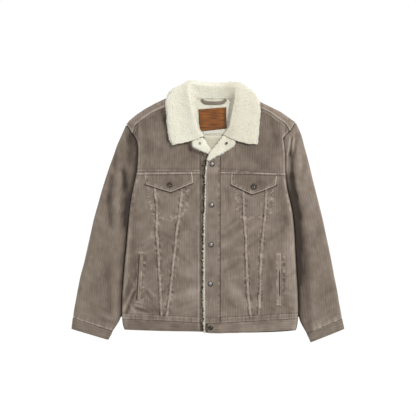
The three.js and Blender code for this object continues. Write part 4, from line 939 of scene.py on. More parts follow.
def build_strips():
    """The back yoke's roll over each shoulder."""
    for name, bottom, top in STRIPS:
        low, high = straight(bottom), straight(top)
        xs = wale_columns(bottom[0][0], bottom[-1][0])
        xs = np.clip(xs, bottom[0][0] + 0.1, bottom[-1][0] - 0.1)
        share = np.array([0, 0.04, 0.1, 0.18, 0.3, 0.44, 0.58, 0.72, 0.84, 0.93, 1])[:, None]
        y = lerp(low(xs)[None], high(xs)[None], share)
        x = np.broadcast_to(xs, y.shape).astype(float)
        out = np.clip((share - 0.2) / 0.8, 0, 1)
        seam = bell(y - low(xs)[None] - 3, 2.2)
        z = FRONT_UNDER + lerp(FRONT_WALL, SIDE_EDGE, 1 - np.sqrt(1 - out ** 4)) + 0.9 * seam
        z = z - 0.9 * np.exp(-(share * 12) ** 2) + 0.3 * mottle(x, y, 12, 43) * (1 - out)
        # Painted light on the roll's top and on the seam beside it, more on the left strip, and painted
        # shade where the roll turns down
        tone = (0.3 if bottom[0][0] < 0 else 0.55) * (1 - out) + 0.35 * seam + 0.25 * mottle(x, y, 9, 44)
        tone = tone - 0.4 * bell(share - 0.46, 0.1) + 0.15 * bell(share - 0.84, 0.1)
        relief = wale_relief(np.round(xs / STEP) * STEP)[None] * (1 - share)
        skin = Skin(x, y, z + relief, (x, y), tone).turn_under([(0, FRONT_UNDER)])
        corduroy_piece(skin, name)


def build_plackets():
    """The two front overlaps, the upper with its seam puckered."""
    xs = wale_columns(UNDER_PLACKET + 0.6, 28)
    top = straight([(UNDER_PLACKET, 205), (28, 132)])
    y = rows_between(np.full(xs.shape, -310.0), top(xs), (0, 1.5), (0, 1.5), 5.0)
    x = np.broadcast_to(xs, y.shape).astype(float)
    sunk = bell(x - UNDER_PLACKET - 1, 1.6) + 1.2 * smoothstep(x, -20, -12)
    z = FRONT_TOP - 0.9 * sunk + 0.25 * mottle(x, y, 14, 51) + wale_relief(xs)[None]
    teeth = np.clip(1.8 * mottle(0.5 * x, y, 3.3, 58), -1, 1)
    in_shade = smoothstep(x + 1.5 * ripple(y, 3.6, 59), -22, -15)
    tone = 0.1 * mottle(x, y, 12, 52) - (0.8 - 0.6 * teeth) * in_shade
    skin = Skin(x, y, z, (x, y), tone).turn_under([(0, FRONT_UNDER)])
    corduroy_piece(skin, "placket_right")

    head = lambda at: lerp(139.0, 190.0, np.clip((at - 1) / 34, 0, 1))
    x, y, inside, relief = cut_panel(
        -8, PLACKET_SEAM, waist_seam, head, overlap_edge, unchanging(PLACKET_SEAM),
        start=(0.15, 1.5), end=(0.15, 1.5), step=2.6)
    z, tone = placket_surface(x, y)
    skin = Skin(x, y, z + relief * 0.8, (x, y), tone, inside).turn_under([(0, FRONT_UNDER + LAYER)])
    corduroy_piece(skin, "placket_left")


def placket_surface(x, y):
    """Upper front's overlap: rolled outer edge, two rows of stitches, ticks of puckers at its seam."""
    from_edge = x - front_edge(y) - EDGE_PILE
    to_seam = PLACKET_SEAM - x
    z = PLACKET_TOP + 0.8 - 1.6 * bell(from_edge, 2.2)
    z = z - 0.35 * bell(from_edge - 6, 1.1) + 0.3 * mottle(x, y, 17, 53)
    ticks = ripple(y, 4.2, 54) + 0.7 * ripple(y, 9, 55)
    z = z + 0.9 * ticks * bell(to_seam - 3, 5) - 0.9 * bell(to_seam, 1.3)
    z = z + 0.35 * ripple(y, 6, 56) * bell(from_edge - 4, 4)
    band = smoothstep(y, 100, 112) * (1 - smoothstep(y, 118, 128))
    tone = 0.28 + 0.14 * mottle(x, y, 15, 57) + 0.3 * band + 0.5 * ticks * bell(to_seam - 3, 3.5)
    dark = 1.1 + 1.0 * smoothstep(-y, -60, 10) + 0.5 * ticks
    tone = tone - dark * bell(to_seam - 0.3, 1.6) - 0.26
    tone = tone + 0.3 * bell(from_edge - 3, 2) * (1 + 0.6 * ripple(y, 5, 58))
    above = y - waist_seam(x)
    lap = np.where(above > 0, 1 - smoothstep(above, 14, 17), 0)
    row = bell(above - 2.4, 1.2) + 0.7 * bell(above - 12.5, 1.1)
    tone = tone + row * (0.4 + 0.4 * ripple(x, 5, 66)) + 0.2 * lap * ripple(x, 3.4, 67)
    return z + 0.7 * lap, tone - 0.5 * bell(above - 15.4, 1.2)


def build_waistbands():
    """Wales run round the waist, so each band's columns step down from the seam."""
    shapes = [
        ("waistband_right", side_right, unchanging(28), no_lift, (270, 32)),
        ("waistband_left", overlap_edge, side_left, overlap_lift, (260, 32)),
    ]
    for name, left, right, lifted, flat in shapes:
        drops = np.arange(0, 48) * STEP
        share = np.concatenate([
            [0, 0.002, 0.006, 0.012], np.linspace(0.02, 0.98, 96), [0.988, 0.994, 0.998, 1],
        ])
        guess = lerp(float(left(-320.0)), float(right(-320.0)), share)[:, None]
        y = np.maximum(waist_seam(guess) - GAP * 1.5 - drops[None], hem(guess))
        x = lerp(left(y) + GAP / 2, right(y) - GAP / 2, share[:, None])
        z, tone = front(x, np.minimum(y, waist_seam(x) - 0.01), lifted)
        flat_cloth = y > hem(x) + 0.3
        z = z + np.where(flat_cloth, wale_relief(drops)[None], 0) - 0.7 * bell(drops[None], 1.2)
        z = z + 0.4 * ripple(x, 16, 61) * smoothstep(drops[None], 3, 10) * smoothstep(-drops[None], -28, -20)
        stitched = bell(drops[None] - 3.2, 1.0) + bell(y - hem(x) - 3.6, 1.0)
        z = z - 0.3 * stitched
        tone = tone + (0.1 if name == "waistband_left" else -0.12)
        tone = tone + 0.25 * ripple(x, 11, 62) * bell(drops[None] - 4, 4) + 0.45 * bell(y - hem(x), 2.2)
        skin = Skin(x, y, z, (-y, x), tone).turn_under([(0, underside(lifted))])
        corduroy_piece(skin, name)


def build_back():
    """Back pieces, flat where they rest."""
    neck = [(-60, 320), (-40, 315.5), (62, 315.5), (80, 320)]
    top = straight([(-228, 244), (-202, 270), (-148, 303), (-112, 320), (-82, 334), *neck, (98, 328.6),
                    (143, 309), (206, 278), (245, 250)])
    left = straight([(-198.8, 99), (-198.8, 111), (-196.6, 135), (-195.6, 165), (-197, 190), (-201, 204),
                     (-211, 218), (-228, 244), (-228, 340)], 1)
    right = straight([(217, 99), (217, 130), (216, 162), (213.6, 184), (210.6, 206), (228, 224), (245, 250),
                      (245, 340)], 1)
    shapes = [
        ("back_yoke", -228, 245, above_yoke_seam, top, left, right, (474, 232)),
        ("back_panel", -241, 254, lambda at: waist_seam(at) + GAP / 2, yoke_seam, side_right, side_left,
         (495, 422)),
        ("waistband_back", -241, 254, hem, lambda at: waist_seam(at) - GAP / 2, side_right, side_left,
         (493, 34)),
    ]
    for name, low, high, bottom, head, left_of, right_of, flat in shapes:
        xs = np.linspace(low, high, 84)
        y = rows_between(bottom(xs), head(xs), (0, 1.5), (0, 1.5), 8.0)
        x = np.broadcast_to(xs, y.shape).astype(float)
        edges = left_of(y) + GAP / 2, right_of(y) - GAP / 2
        inside = (x > edges[0]) & (x < edges[1])
        x = np.clip(x, *edges)
        tone = 0.15 * mottle(x, y, 30, 71) + 0.08 * mottle(x, y, 9, 72)
        along = (-y, x) if name == "waistband_back" else (x, y)
        skin = Skin(x, y, np.zeros(x.shape), along, tone, inside).turn_under([(0, 1.5), (0, BACK_WALL)])
        corduroy_piece(skin, name, flip=True)


# Pockets

def flap_surface(x, y, bottom, left, right, lifted, seed):
    """Flap lying on the front: edge sewn in two rows, its lower edge lifted a little."""
    to_edge = np.minimum((y - bottom(x)) * 0.94, np.minimum(x - left(y), right(y) - x))
    base = FRONT_UNDER + lifted(x) + FRONT_WALL + 0.4
    flat = np.maximum(front(x, y, lifted)[0], base - 0.4) + 0.4
    form = lerp(flat, base, 0.55) + FLAP_WALL
    puff = 1 - bell(np.maximum(to_edge, 0), 1.4)
    z = form - 1.9 * (1 - puff) - 0.5 * bell(to_edge - 6.5, 1.1)
    z = z + 2.2 * bell(y - bottom(x), 9) + 0.5 * mottle(x, y, 18, seed)
    z = z + 0.35 * ripple(x + y, 5.5, seed + 1) * bell(to_edge - 4, 3)
    tone = 0.15 * mottle(x, y, 14, seed + 2) + 1.7 * bell(to_edge - 1.3, 1.8) + yoke_row(x, y)
    # Darker overall, with a painted shadow patch on the left flap beside its snap
    tone = tone - 0.15 - 0.55 * np.exp(-((x - 147) / 13) ** 2 - ((y - 80) / 13) ** 2)
    tone = tone - 0.4 * bell(to_edge - 4.4, 1.2) + 0.35 * bell(to_edge - 7, 1.2)
    tone = tone + 0.6 * ripple(x - y, 4.6, seed + 3) * bell(to_edge - 5, 3.4)
    # Painted shade round each snap
    for snap_x, snap_y in FLAP_SNAPS:
        dark = 0.7 if snap_x < 0 else 1.1
        tone = tone - dark * np.exp(-(np.hypot(x - snap_x, y - snap_y) / 9.5) ** 4)
    return z, tone


def build_flaps():
    """Chest pocket flaps, each a pointed piece under the yoke seam."""
    for k, (name, bottom, top, left, right, over) in enumerate(FLAPS):
        lifted = overlap_lift if over else no_lift
        low, high = straight(bottom), straight(top)
        xs = wale_columns(left[-1][0] if k == 0 else left[0][0], right[0][0] if k == 0 else right[-1][0])
        left_of, right_of = straight(left, 1), straight(right, 1)
        y = rows_between(low(xs), high(xs), (0, 0.8, 1.8, 3.2, 4.8, 6.4, 8.2), (0, 1.2, 3), 2.6)
        x = np.broadcast_to(xs, y.shape).astype(float)
        edges = left_of(y), right_of(y)
        inside = (x > edges[0]) & (x < edges[1])
        x = np.clip(x, *edges)
        z, tone = flap_surface(x, y, low, left_of, right_of, lifted, 80 + 10 * k)
        z = z + np.where(inside, wale_relief(xs)[None] * 0.8, 0)
        under = lambda at_x, at_y, f=lifted: FRONT_TOP + f(at_x) + 0.3
        skin = Skin(x, y, z, (x, y), tone, inside).turn_under([(0.2, under)])
        corduroy_piece(skin, name)


# Welts: name, upper end, lower end, width, side that the slit is on
WELTS = [
    ("pocket_welt_right", (-195, -112), (-203, -257), 14.3, "left"),
    ("pocket_welt_left", (190, -117), (191, -263), 13.5, "right"),
]


def build_welts():
    """Hand pocket welts: a raised strip sewn all round, with the slit along its outer side."""
    for name, head, foot, width, slit in WELTS:
        y_low, y_high = foot[1], head[1]
        across = np.arange(0, int(width / STEP) + 1) * STEP
        y = rows_between(np.full(across.shape, float(y_low)), np.full(across.shape, float(y_high)),
                         (0, 0.8, 1.8, 3), (0, 0.8, 1.8, 3), 3.0)
        x = lerp(foot[0], head[0], (y - y_low) / (y_high - y_low)) + across[None]
        seed = 90 if slit == "left" else 95
        base = np.maximum(front(x, y)[0], FRONT_TOP - 1.2)
        to_end = np.minimum(y - y_low, y_high - y)
        to_side = np.minimum(across, across[-1] - across)[None]
        to_slit = (across if slit == "left" else across[-1] - across)[None]
        z = base + WELT_WALL - 1.6 * bell(np.minimum(to_end, to_side), 1.1)
        if slit == "left":
            run = smoothstep(to_end, 6, 12)
        else:
            run = smoothstep(y, -238, -228) * smoothstep(-y, 160, 175)
        slit_depth = 2.0 * bell(to_slit - 3.4, 1.3) * run
        z = z - slit_depth + 0.5 * ripple(y, 6, seed) + wale_relief(across)[None] * 0.7
        tone = 0.1 + 0.55 * bell(to_side - 1, 1.5) * (1 + 0.8 * ripple(y, 7, seed + 1))
        # Painted shade in the slit
        tone = tone - 2.2 * bell(to_slit - 3.4, 1.5) * run
        tone = tone + 0.35 * bell(to_slit - 7, 1.5) + 0.45 * smoothstep(-to_end, -4.5, -3)
        tone = tone + 0.4 * ripple(y, 5.6, seed + 2) * smoothstep(to_slit, 7, 10)
        skin = Skin(x, y, z, (x, y), tone).turn_under([(0, FRONT_TOP - 1.6)])
        corduroy_piece(skin, name)


# Sleeves

# Reach of the rolls along a sleeve's edges, and the height of those edges
OUTER_ROLL, INNER_ROLL = 17.0, 30.0
EDGE_HEIGHT, ARMHOLE_HEIGHT = 6.5, 11.0
# Length taken for one step from section to section near the cuff
SECTION_STEP = 28


def sleeve_profile(q, width, height, inner_height, folds):
    """Height across a flattened sleeve, from its outer edge to its inner edge."""
    fit = np.minimum(1, width / (OUTER_ROLL + INNER_ROLL + 14))
    turn = lambda d, reach: np.sqrt(1 - (1 - np.clip(d / (reach * fit), 0, 1)) ** 2)
    from_in, from_out = turn(width - q, INNER_ROLL), turn(q, OUTER_ROLL)
    z = lerp(inner_height, height, from_in) - (height - EDGE_HEIGHT) * (1 - from_out)
    inland = np.minimum(from_in, from_out)
    return np.where(inland > 0, np.maximum(z + folds * inland, 11 * inland), z), inland


def build_sleeves():
    """Sleeves, flattened tubes whose wales run lengthways."""
    for name, table, seed in (("sleeve_right", SLEEVE_RIGHT, 101), ("sleeve_left", SLEEVE_LEFT, 111)):
        rows = [(k, *row) for k, row in enumerate(table)]
        t = np.concatenate([
            [0, 0.06, 0.14], np.linspace(0.25, len(rows) - 1.12, 150), [len(rows) - 1.04, len(rows) - 1],
        ])
        out_x, out_y, in_x, in_y, height = (smooth(rows, 0, k)(t)[:, None] for k in range(1, 6))
        width = np.hypot(in_x - out_x, in_y - out_y)
        w = wale_columns(-68, 68)[None]
        q = np.clip(w + width / 2, 0, width)
        inside = (q > 0) & (q < width)
        x, y = lerp(out_x, in_x, q / width), lerp(out_y, in_y, q / width)
        armhole = 1 - smoothstep(-in_y, 10, 70)
        folds = fold_height(SLEEVE_FOLDS, x, y) + fold_height(SLEEVE_CREASES, x, y)
        folds = folds + 0.5 * mottle(x, y, 38, seed) + 0.25 * mottle(x, y, 14, seed + 1)
        z, inland = sleeve_profile(q, width, height, lerp(EDGE_HEIGHT, ARMHOLE_HEIGHT, armhole), folds)
        to_cuff = (t[-1] - t)[:, None] * SECTION_STEP
        near_cuff = bell(to_cuff, 14)
        z = z + 0.7 * near_cuff * ripple(q, 7, seed + 2) * inland - 0.4 * bell(to_cuff, 1.2)
        z = z + np.where(inside, wale_relief(w), 0) * inland
        # Tone: mottled; painted shade in the dip at the cuff seam; the painted light and shade of
        # SLEEVE_SHADES and of the folds; and painted shade along the inner edge, beside the body
        tone = 0.09 * mottle(x, y, 30, seed + 3) + 0.1 * mottle(x, y, 10, seed + 4)
        tone = tone + 0.35 * near_cuff * ripple(q, 6, seed + 5) + 0.3 * bell(to_cuff, 22)
        sewn = 0.75 if name == "sleeve_right" else 0.3
        tone = tone + sewn * (1.0 + 0.7 * ripple(q, 5, seed + 6)) * bell(to_cuff - 2.6, 1.5)
        tone = tone - 1.0 * bell(to_cuff, 0.9) + fold_height(SLEEVE_SHADES, x, y)
        tone = tone + 0.16 * np.clip(folds, -3, 2) * inland
        if name == "sleeve_right":
            near, far = 0.75 * smoothstep(y, -330, -280), 0.56 * armhole + 0.12 * smoothstep(y, -290, -240)
            reach, spread = 6.5, lerp(14.0, 26.0, armhole)
        else:
            near, far = 0.8 * (1 - smoothstep(y, 96, 130)), 0.3 * (1 - smoothstep(y, 80, 120))
            reach, spread = 6.0, 20.0
        shade_beside_body = near * bell(width - q, reach) + far * bell(width - q, spread)
        tone = tone - shade_beside_body + 0.2 * bell(q, 6.0)
        run = np.cumsum(np.concatenate([[0], np.hypot(np.diff(out_x[:, 0]), np.diff(out_y[:, 0]))]))[:, None]
        skin = Skin(x, y, z, (w + 0 * q, run + 0 * q), tone, inside)
        flip = name == "sleeve_right"
        rim = skin.points[skin.rim]
        to_outer, to_inner = (np.hypot(rim[:, 0] - ex, rim[:, 1] - ey).min(axis=0)
                              for ex, ey in ((out_x, out_y), (in_x, in_y)))
        # The outer edge turns in. The inner one leans on the body's side, and the top one on the shoulder.
        leaning = lerp(1, np.clip((to_inner - to_outer) / 12, -1, 1), smoothstep(rim[:, 1], -304, -292))
        cap = np.linspace(0, 1, 24)[:, None]
        to_cap = np.hypot(rim[:, 0] - lerp(out_x[0], in_x[0], cap), rim[:, 1] - lerp(out_y[0], in_y[0], cap))
        to_corner = np.hypot(rim[:, 0] - out_x[0], rim[:, 1] - out_y[0])
        leaning = lerp(leaning, -1, bell(to_cap.min(axis=0), 4) * smoothstep(to_corner, -3, 5))
        inset = -leaning if flip else leaning
        skin.turn_under([(1.2 * inset, 2.6), (4.0 * inset, 0.0)]).close_under()
        corduroy_piece(skin, name, flip=flip)


def tube_ring(section, count):
    """Closed outline of a flattened cuff, that of the slit inside it, and the place across."""
    out_x, out_y, in_x, in_y, height = section
    width = math.hypot(in_x - out_x, in_y - out_y)
    turn = np.linspace(0, 2 * math.pi, count, endpoint=False)
    across = np.sign(np.cos(turn)) * np.abs(np.cos(turn)) ** 0.42
    up = np.sign(np.sin(turn)) * np.abs(np.sin(turn)) ** 0.62
    q = width * (0.5 - 0.5 * across)
    middle = 0.46 * height
    z = np.where(up >= 0, middle + up * (height - middle), middle + up * middle)
    place_at = lambda s: (lerp(out_x, in_x, s / width), lerp(out_y, in_y, s / width))
    slit = np.clip(q, 6, width - 6)
    outer = np.column_stack([*place_at(q), z])
    inner = np.column_stack([*place_at(slit), 8 + 0.7 * np.sign(up) * (np.abs(across) < 0.97)])
    return outer, inner, q


def build_cuffs():
    """Cuffs, with wales round the wrist and the opening between their two walls."""
    count = 150
    for name, table, seed in (("cuff_right", CUFF_RIGHT, 121), ("cuff_left", CUFF_LEFT, 126)):
        rows = [(k, *row) for k, row in enumerate(table)]
        steps = 49
        t = np.linspace(0, len(rows) - 1, steps)
        sections = np.column_stack([smooth(rows, 0, k)(t) for k in range(1, 6)])
        rings, uvs, tones = [], [], []
        for i, section in enumerate(sections):
            outer, _, q = tube_ring(section, count)
            at = i * STEP
            end = min(at, (steps - 1) * STEP - at)
            top = outer[:, 2] > 9
            relief = wale_relief(at) if end > 1 else 0
            shape = relief - 0.5 * math.exp(-(end / 1.0) ** 2) - 0.35 * math.exp(-((end - 4) / 0.9) ** 2)
            outer[:, 2] += np.where(top, shape + 0.4 * ripple(q, 11, seed) * smoothstep(end, 2, 8), 0)
            rings.append(outer)
            uvs.append(np.column_stack([np.full(count, at), q]))
            tones.append(0.15 * ripple(q, 12, seed + 1) + 0.75 * math.exp(-(end / 2.2) ** 2))
        hem_outer, hem_inner, q = tube_ring(sections[-1], count)
        inward = sections[-6] - sections[-1]
        deep = hem_inner + np.array([inward[0], inward[1], 0]) * 3
        # Rings down into the wrist opening, each darker, as painted shade
        for ring, dark in ((lerp(hem_outer, hem_inner, 0.55), 0.1), (hem_inner, -0.6), (deep, -1.2)):
            rings.append(ring)
            uvs.append(np.column_stack([np.full(count, steps * STEP), q]))
            tones.append(np.full(count, dark))
        points = np.concatenate(rings)
        total = len(rings)
        a = np.arange(count)
        b = (a + 1) % count
        faces = [[(total - 1) * count + k for k in a]]
        for ring in range(total - 1):
            near, far = ring * count, (ring + 1) * count
            faces += np.column_stack([near + a, near + b, far + b, far + a]).tolist()
        mesh = bpy.data.meshes.new(name)
        mesh.from_pydata((points * MM).tolist(), [], faces)
        flip_if_inside_out(mesh)
        uv, tone = np.concatenate(uvs) * MM, np.concatenate(tones)
        obj = dress(mesh, name + "_cloth", material_of("corduroy"), uv, tone)
        place(obj, "corduroy", name)


def flip_if_inside_out(mesh):
    volume = 0.0
    mesh.calc_loop_triangles()
    for tri in mesh.loop_triangles:
        a, b, c = (mesh.vertices[k].co for k in tri.vertices)
        volume += a.dot(b.cross(c))
    if volume < 0:
        mesh.flip_normals()


# Sherpa

def resample(grid, rows, cols):
    """A control grid (rows, columns, values) made finer both ways, smoothly."""
    grid = np.array(grid, float)
    for axis, count in ((0, rows), (1, cols)):
        moved = np.moveaxis(grid, axis, 0)
        size = moved.shape[0]
        at = np.linspace(0, size - 1, count)
        flat = moved.reshape(size, -1)
        table = np.column_stack([np.arange(size), flat])
        fine = np.column_stack([smooth(table, 0, k + 1)(at) for k in range(flat.shape[1])])
        grid = np.moveaxis(fine.reshape((count, *moved.shape[1:])), 0, axis)
    return grid


def surface_normals(p):
    n = np.cross(np.gradient(p, axis=1), np.gradient(p, axis=0))
    n /= np.maximum(np.linalg.norm(n, axis=-1), 1e-9)[..., None]
    return n * np.sign(n[..., 2:].mean())


def surface_turn(p):
    """Positive where a grid's rows climb on the left of its columns, seen from above."""
    dx, dy = p[1:, 1:, 0] - p[:-1, :-1, 0], p[1:, 1:, 1] - p[:-1, :-1, 1]
    ex, ey = p[1:, :-1, 0] - p[:-1, 1:, 0], p[1:, :-1, 1] - p[:-1, 1:, 1]
    return float((dx * ey - dy * ex).sum())


def surface_uv(p):
    """Distances run along both ways of a grid, in millimetres."""
    du = np.linalg.norm(np.diff(p, axis=1), axis=-1)
    dv = np.linalg.norm(np.diff(p, axis=0), axis=-1)
    u = np.concatenate([np.zeros((p.shape[0], 1)), np.cumsum(du, axis=1)], axis=1)
    v = np.concatenate([np.zeros((1, p.shape[1])), np.cumsum(dv, axis=0)], axis=0)
    return u, v


def pile(p, depth=1.7, size=5.2, seed=1, shade=None):
    """Pushes a surface out into curled nubs. Gives the points, UV and tone."""
    u, v = p[..., 0] + 0.6 * p[..., 2], p[..., 1] + 0.4 * p[..., 2]
    u = u + 1.2 * mottle(u, v, 7, seed + 5)
    v = v + 1.2 * mottle(u, v, 7, seed + 6)
    big, small = nubs(u, v, size, seed), nubs(u, v, size * 0.45, seed + 1)
    out = depth * (big - 0.75) + 0.35 * depth * (small - 0.6) + 0.5 * mottle(u, v, 16, seed + 2)
    tone = 0.5 * (big - 0.6) + 0.25 * (small - 0.5)
    if shade is not None:
        tone = tone + shade
    return p + surface_normals(p) * out[..., None], surface_uv(p), tone


def sherpa_piece(name, p, under, nodes, flat, on, reach=2.0, area=None, **settings):
    """Pile over a grid. Its edge hangs out in tufts before it turns under."""
    points, uv, tone = pile(p, **settings)
    if surface_turn(p) < 0:
        points, uv, tone = points[::-1], [way[::-1] for way in uv], tone[::-1]
    x, y, z = (points[..., k] for k in range(3))
    skin = Skin(x, y, z, uv, tone).fringe(reach, settings["seed"] + 7).turn_under([(1.5 + reach, under)])
    obj = skin.build(name, material_of("sherpa"))
    place(obj, "sherpa", *nodes)


def build_collar():
    """Collar: from the neck seam up to the roll, and down again to its outer edge."""
    grid = []
    rise, fall = [0, 0.2, 0.5, 0.78, 1], [0.3, 0.55, 0.78, 0.93, 1]
    for k, (in_x, in_y, roll_x, roll_y, out_x, out_y, roll_z, bow) in enumerate(COLLAR_SECTIONS):
        on_floor = FLOOR_SECTIONS[0] <= k <= FLOOR_SECTIONS[1]
        leaf = math.hypot(out_x - roll_x, out_y - roll_y)
        leaf_top = roll_z - 5 if on_floor else COLLAR_UNDER + COLLAR_LEAF
        edge_top = 12 if on_floor else COLLAR_UNDER + 2.5
        row = [
            (lerp(in_x, roll_x, s), lerp(in_y, roll_y, s),
             lerp(OVER_LINING + 1.6, roll_z, 0.5 * s + 0.5 * math.sin(s * math.pi / 2))) for s in rise
        ]
        for s in [min(6 / leaf, 0.25), *fall]:
            settled = lerp(roll_z, leaf_top, float(smoothstep(s, 0, 0.5)))
            row.append((
                lerp(roll_x, out_x, s), lerp(roll_y, out_y, s) + bow * math.sin(math.pi * s),
                lerp(edge_top, settled, math.sqrt(1 - s ** 5)),
            ))
        grid.append(row)
    p = resample(grid, 430, 150)
    share = np.linspace(0, 1, 150)[None]
    # Painted shade along the roll, and over the right-hand leaf, more just outside its roll
    roll_shade = -0.3 * bell(share - 0.28, 0.09)
    right_hand = smoothstep(p[..., 0], 20, 60)
    roll_shade = roll_shade - 0.35 * right_hand * bell(share - 0.5, 0.09) - 0.6 * right_hand
    p[..., 2] = np.minimum(p[..., 2], COLLAR_TOP)

    def under(x, y):
        """The collar ends near the floor behind the neck, on the lining within it, or else on the fronts."""
        in_neck = np.hypot(x - 14, (y - 262) * 0.8) < 62
        return np.where(y > 322, 6.0, np.where(in_neck, 15.5, 19.5))

    sherpa_piece("collar_pile", p, under, ["collar"], (480, 110), "yoke_right", seed=131,
                 shade=roll_shade + np.zeros(p.shape[:2]))


def build_lining():
    """Sherpa seen inside the neck."""
    left = smooth([(135.6, 29.2), (172.6, 5), (209, -19.6), (225.4, -31), (246.6, -41.2), (276.4, -49.4),
                   (314.6, -58.6)])
    right = smooth([(135.6, 34.4), (160, 34.7), (191, 35.4), (212.4, 51), (238.4, 65), (264.4, 72),
                    (314.6, 77)])
    y = np.linspace(135.6, 316.8, 170)[:, None]
    share = np.linspace(0, 1, 110)[None]
    x = lerp(left(y), right(y), share)
    z = np.full(x.shape, LINING_TOP - 1.0) + 2.2 * smoothstep(y, 313.5, 316.8)
    edge = np.minimum(share, 1 - share)
    shade = -0.36 - 0.5 * bell(edge, 0.12) - 1.0 * smoothstep(-y, -216, -196)
    shade = shade - 0.15 * smoothstep(y, 300, 316)
    shade = shade - 0.9 * bell(y - 213.2 - 6 * (share - 0.5) ** 2, 1.3)
    p = np.stack([x, y + 0 * x, z], -1)
    sherpa_piece("neck_pile", p, FRONT_UNDER, ["neck_lining"], (136, 180), "back_yoke", seed=141, depth=1.3,
                 reach=0.2, shade=shade)


def coons(bottom, top, left, right, rows, cols):
    """A plan grid stretched between four edges, with the shares across and up of its columns and rows."""
    def edge(points):
        p = np.array(points, float)
        run = np.concatenate([[0], np.cumsum(np.hypot(*np.diff(p, axis=0).T))])
        run /= run[-1]
        table = np.column_stack([run, p])
        return lambda t: np.stack([smooth(table, 0, 1)(t), smooth(table, 0, 2)(t)], -1)
    on_bottom, on_top, on_left, on_right = edge(bottom), edge(top), edge(left), edge(right)
    u, v = np.linspace(0, 1, cols), np.linspace(0, 1, rows)
    uu, vv = u[None, :, None], v[:, None, None]
    across = lerp(on_left(v)[:, None], on_right(v)[:, None], uu)
    up = lerp(on_bottom(u)[None], on_top(u)[None], vv)
    low_corners, high_corners = (lerp(side(0.0), side(1.0), uu) for side in (on_bottom, on_top))
    return across + up - lerp(low_corners, high_corners, vv), u, v


def build_revers():
    """Sherpa turned out below the collar, on either side of the opening."""
    shapes = [
        ("revers_right", [(1.5, 160.6), (10.5, 170)], [(-44, 199), (-29, 204), (-14, 206.6)],
         [(1.5, 160.6), (-16, 167.6), (-32, 174.6), (-42.4, 181), (-44.6, 189), (-44, 199)],
         [(10.5, 170), (-2, 188), (-14, 206.6)],
         unchanging(COLLAR_UNDER), 60, 46),
        ("revers_left", [(-3.5, 143.4), (2.4, 140.6)], [(43.4, 211.6), (59, 205.6), (76, 198)],
         [(-3.5, 143.4), (4, 160), (13.4, 173), (28, 191.6), (43.4, 211.6)],
         [(2.4, 140.6), (20, 151), (46, 165), (67, 178), (75, 187), (76, 198)],
         lambda x: FRONT_TOP + overlap_lift(x) + 1.3, 86, 46),
    ]
    for name, bottom, top, left, right, level, rows, cols in shapes:
        plan, u, v = coons(bottom, top, left, right, rows, cols)
        side = np.sqrt(np.maximum(0, 1 - np.abs(2 * u - 1) ** 6))[None]
        foot = np.sqrt(np.maximum(0, 1 - (1 - v) ** 6))[:, None]
        z = level(plan[..., 0]) + lerp(2.2, REVERS_WALL, side * foot)
        p = np.concatenate([plan, z[..., None]], -1)
        on = "yoke_left" if name == "revers_left" else "yoke_right"
        under = OVER_LINING if name == "revers_right" else FRONT_TOP
        shade = (-0.15 - 0.45 * smoothstep(v, 0.3, 0.95))[:, None] * (name == "revers_left") + 0 * u[None]
        sherpa_piece(name + "_pile", p, under, [name], (62, 82), on, seed=151, depth=1.4, size=4.6,
                     shade=shade)


def build_edge_pile():
    """Pile that rolls out past the upper front's edge."""
    y = np.linspace(-338, 139, 420)[:, None]
    s = np.linspace(0, 1, 12)[None]
    edge = front_edge(y)
    fringe = 0.9 + 1.5 * ripple(y, 4.2, 161) + 1.3 * ripple(y, 2.4, 162)
    out = 1.9 + 1.5 * smoothstep(-y, -40, 180)
    x = lerp(edge - out + fringe, edge + EDGE_PILE + 1.2, s)
    z = PLACKET_TOP - 4.5 * (1 - np.sqrt(1 - (1 - s) ** 2.2)) + 0.3 - 1.6 * smoothstep(s, 0.7, 1)
    shade = -0.95 - 0.5 * smoothstep(-y, -60, 120) + 1.0 * ripple(y, 3.6, 164) + 0.7 * ripple(y, 2.2, 165)
    p = np.stack([x, y + 0 * x, z + 0 * x], -1)
    shown = (14, 478)
    sherpa_piece("front_edge_fringe", p, FRONT_UNDER + 6, ["front_edge_pile"], shown, "placket_right",
                 area=shown[0] * shown[1], reach=0.9, seed=163, depth=1.0, size=3.6, shade=shade + 0 * x)


# Trims

def trim(name, slot, plan, z, under, tone=None):
    """A thin flat trim that lies on the lining at the neck."""
    x, y = plan[..., 0], plan[..., 1]
    obj = Skin(x, y, z, (x, y), tone).turn_under([under]).build(name + "_dressed", material_of(slot))
    place(obj, slot, name)


def build_patch():
    """Bare leather patch with its border pressed in."""
    plan, u, v = coons([(-18, 225), (17, 228.6), (52.6, 232.5)], [(-26.4, 286), (12, 289), (51.4, 292)],
                       [(-18, 225), (-22.6, 232), (-26.4, 286)], [(52.6, 232.5), (51.4, 292)], 90, 110)
    x, y = plan[..., 0], plan[..., 1]
    across, up = np.minimum(u, 1 - u)[None] * 74, np.minimum(v, 1 - v)[:, None] * 61
    to_edge = np.minimum(across, up)
    z = OVER_LINING + 1.9 - 1.2 * bell(to_edge, 0.8) - 0.35 * bell(to_edge - 2.6, 0.7)
    z = z - 0.25 * bell(to_edge - 6.5, 0.5) + 0.3 * mottle(x, y, 25, 171)
    # Painted shade at the turned edge, in the pressed border and on the right side beside the collar's roll,
    # and mottled streaks
    tone = -0.8 * bell(to_edge, 1.5) - 0.5 * bell(to_edge - 6.5, 0.7)
    tone = tone + 0.1 + 0.45 * mottle(x / 7, y, 3.4, 172) - 0.9 * smoothstep(u, 0.84, 0.95)[None]
    trim("leather_patch", "leather", plan, z, (0, OVER_LINING - 0.8), tone)


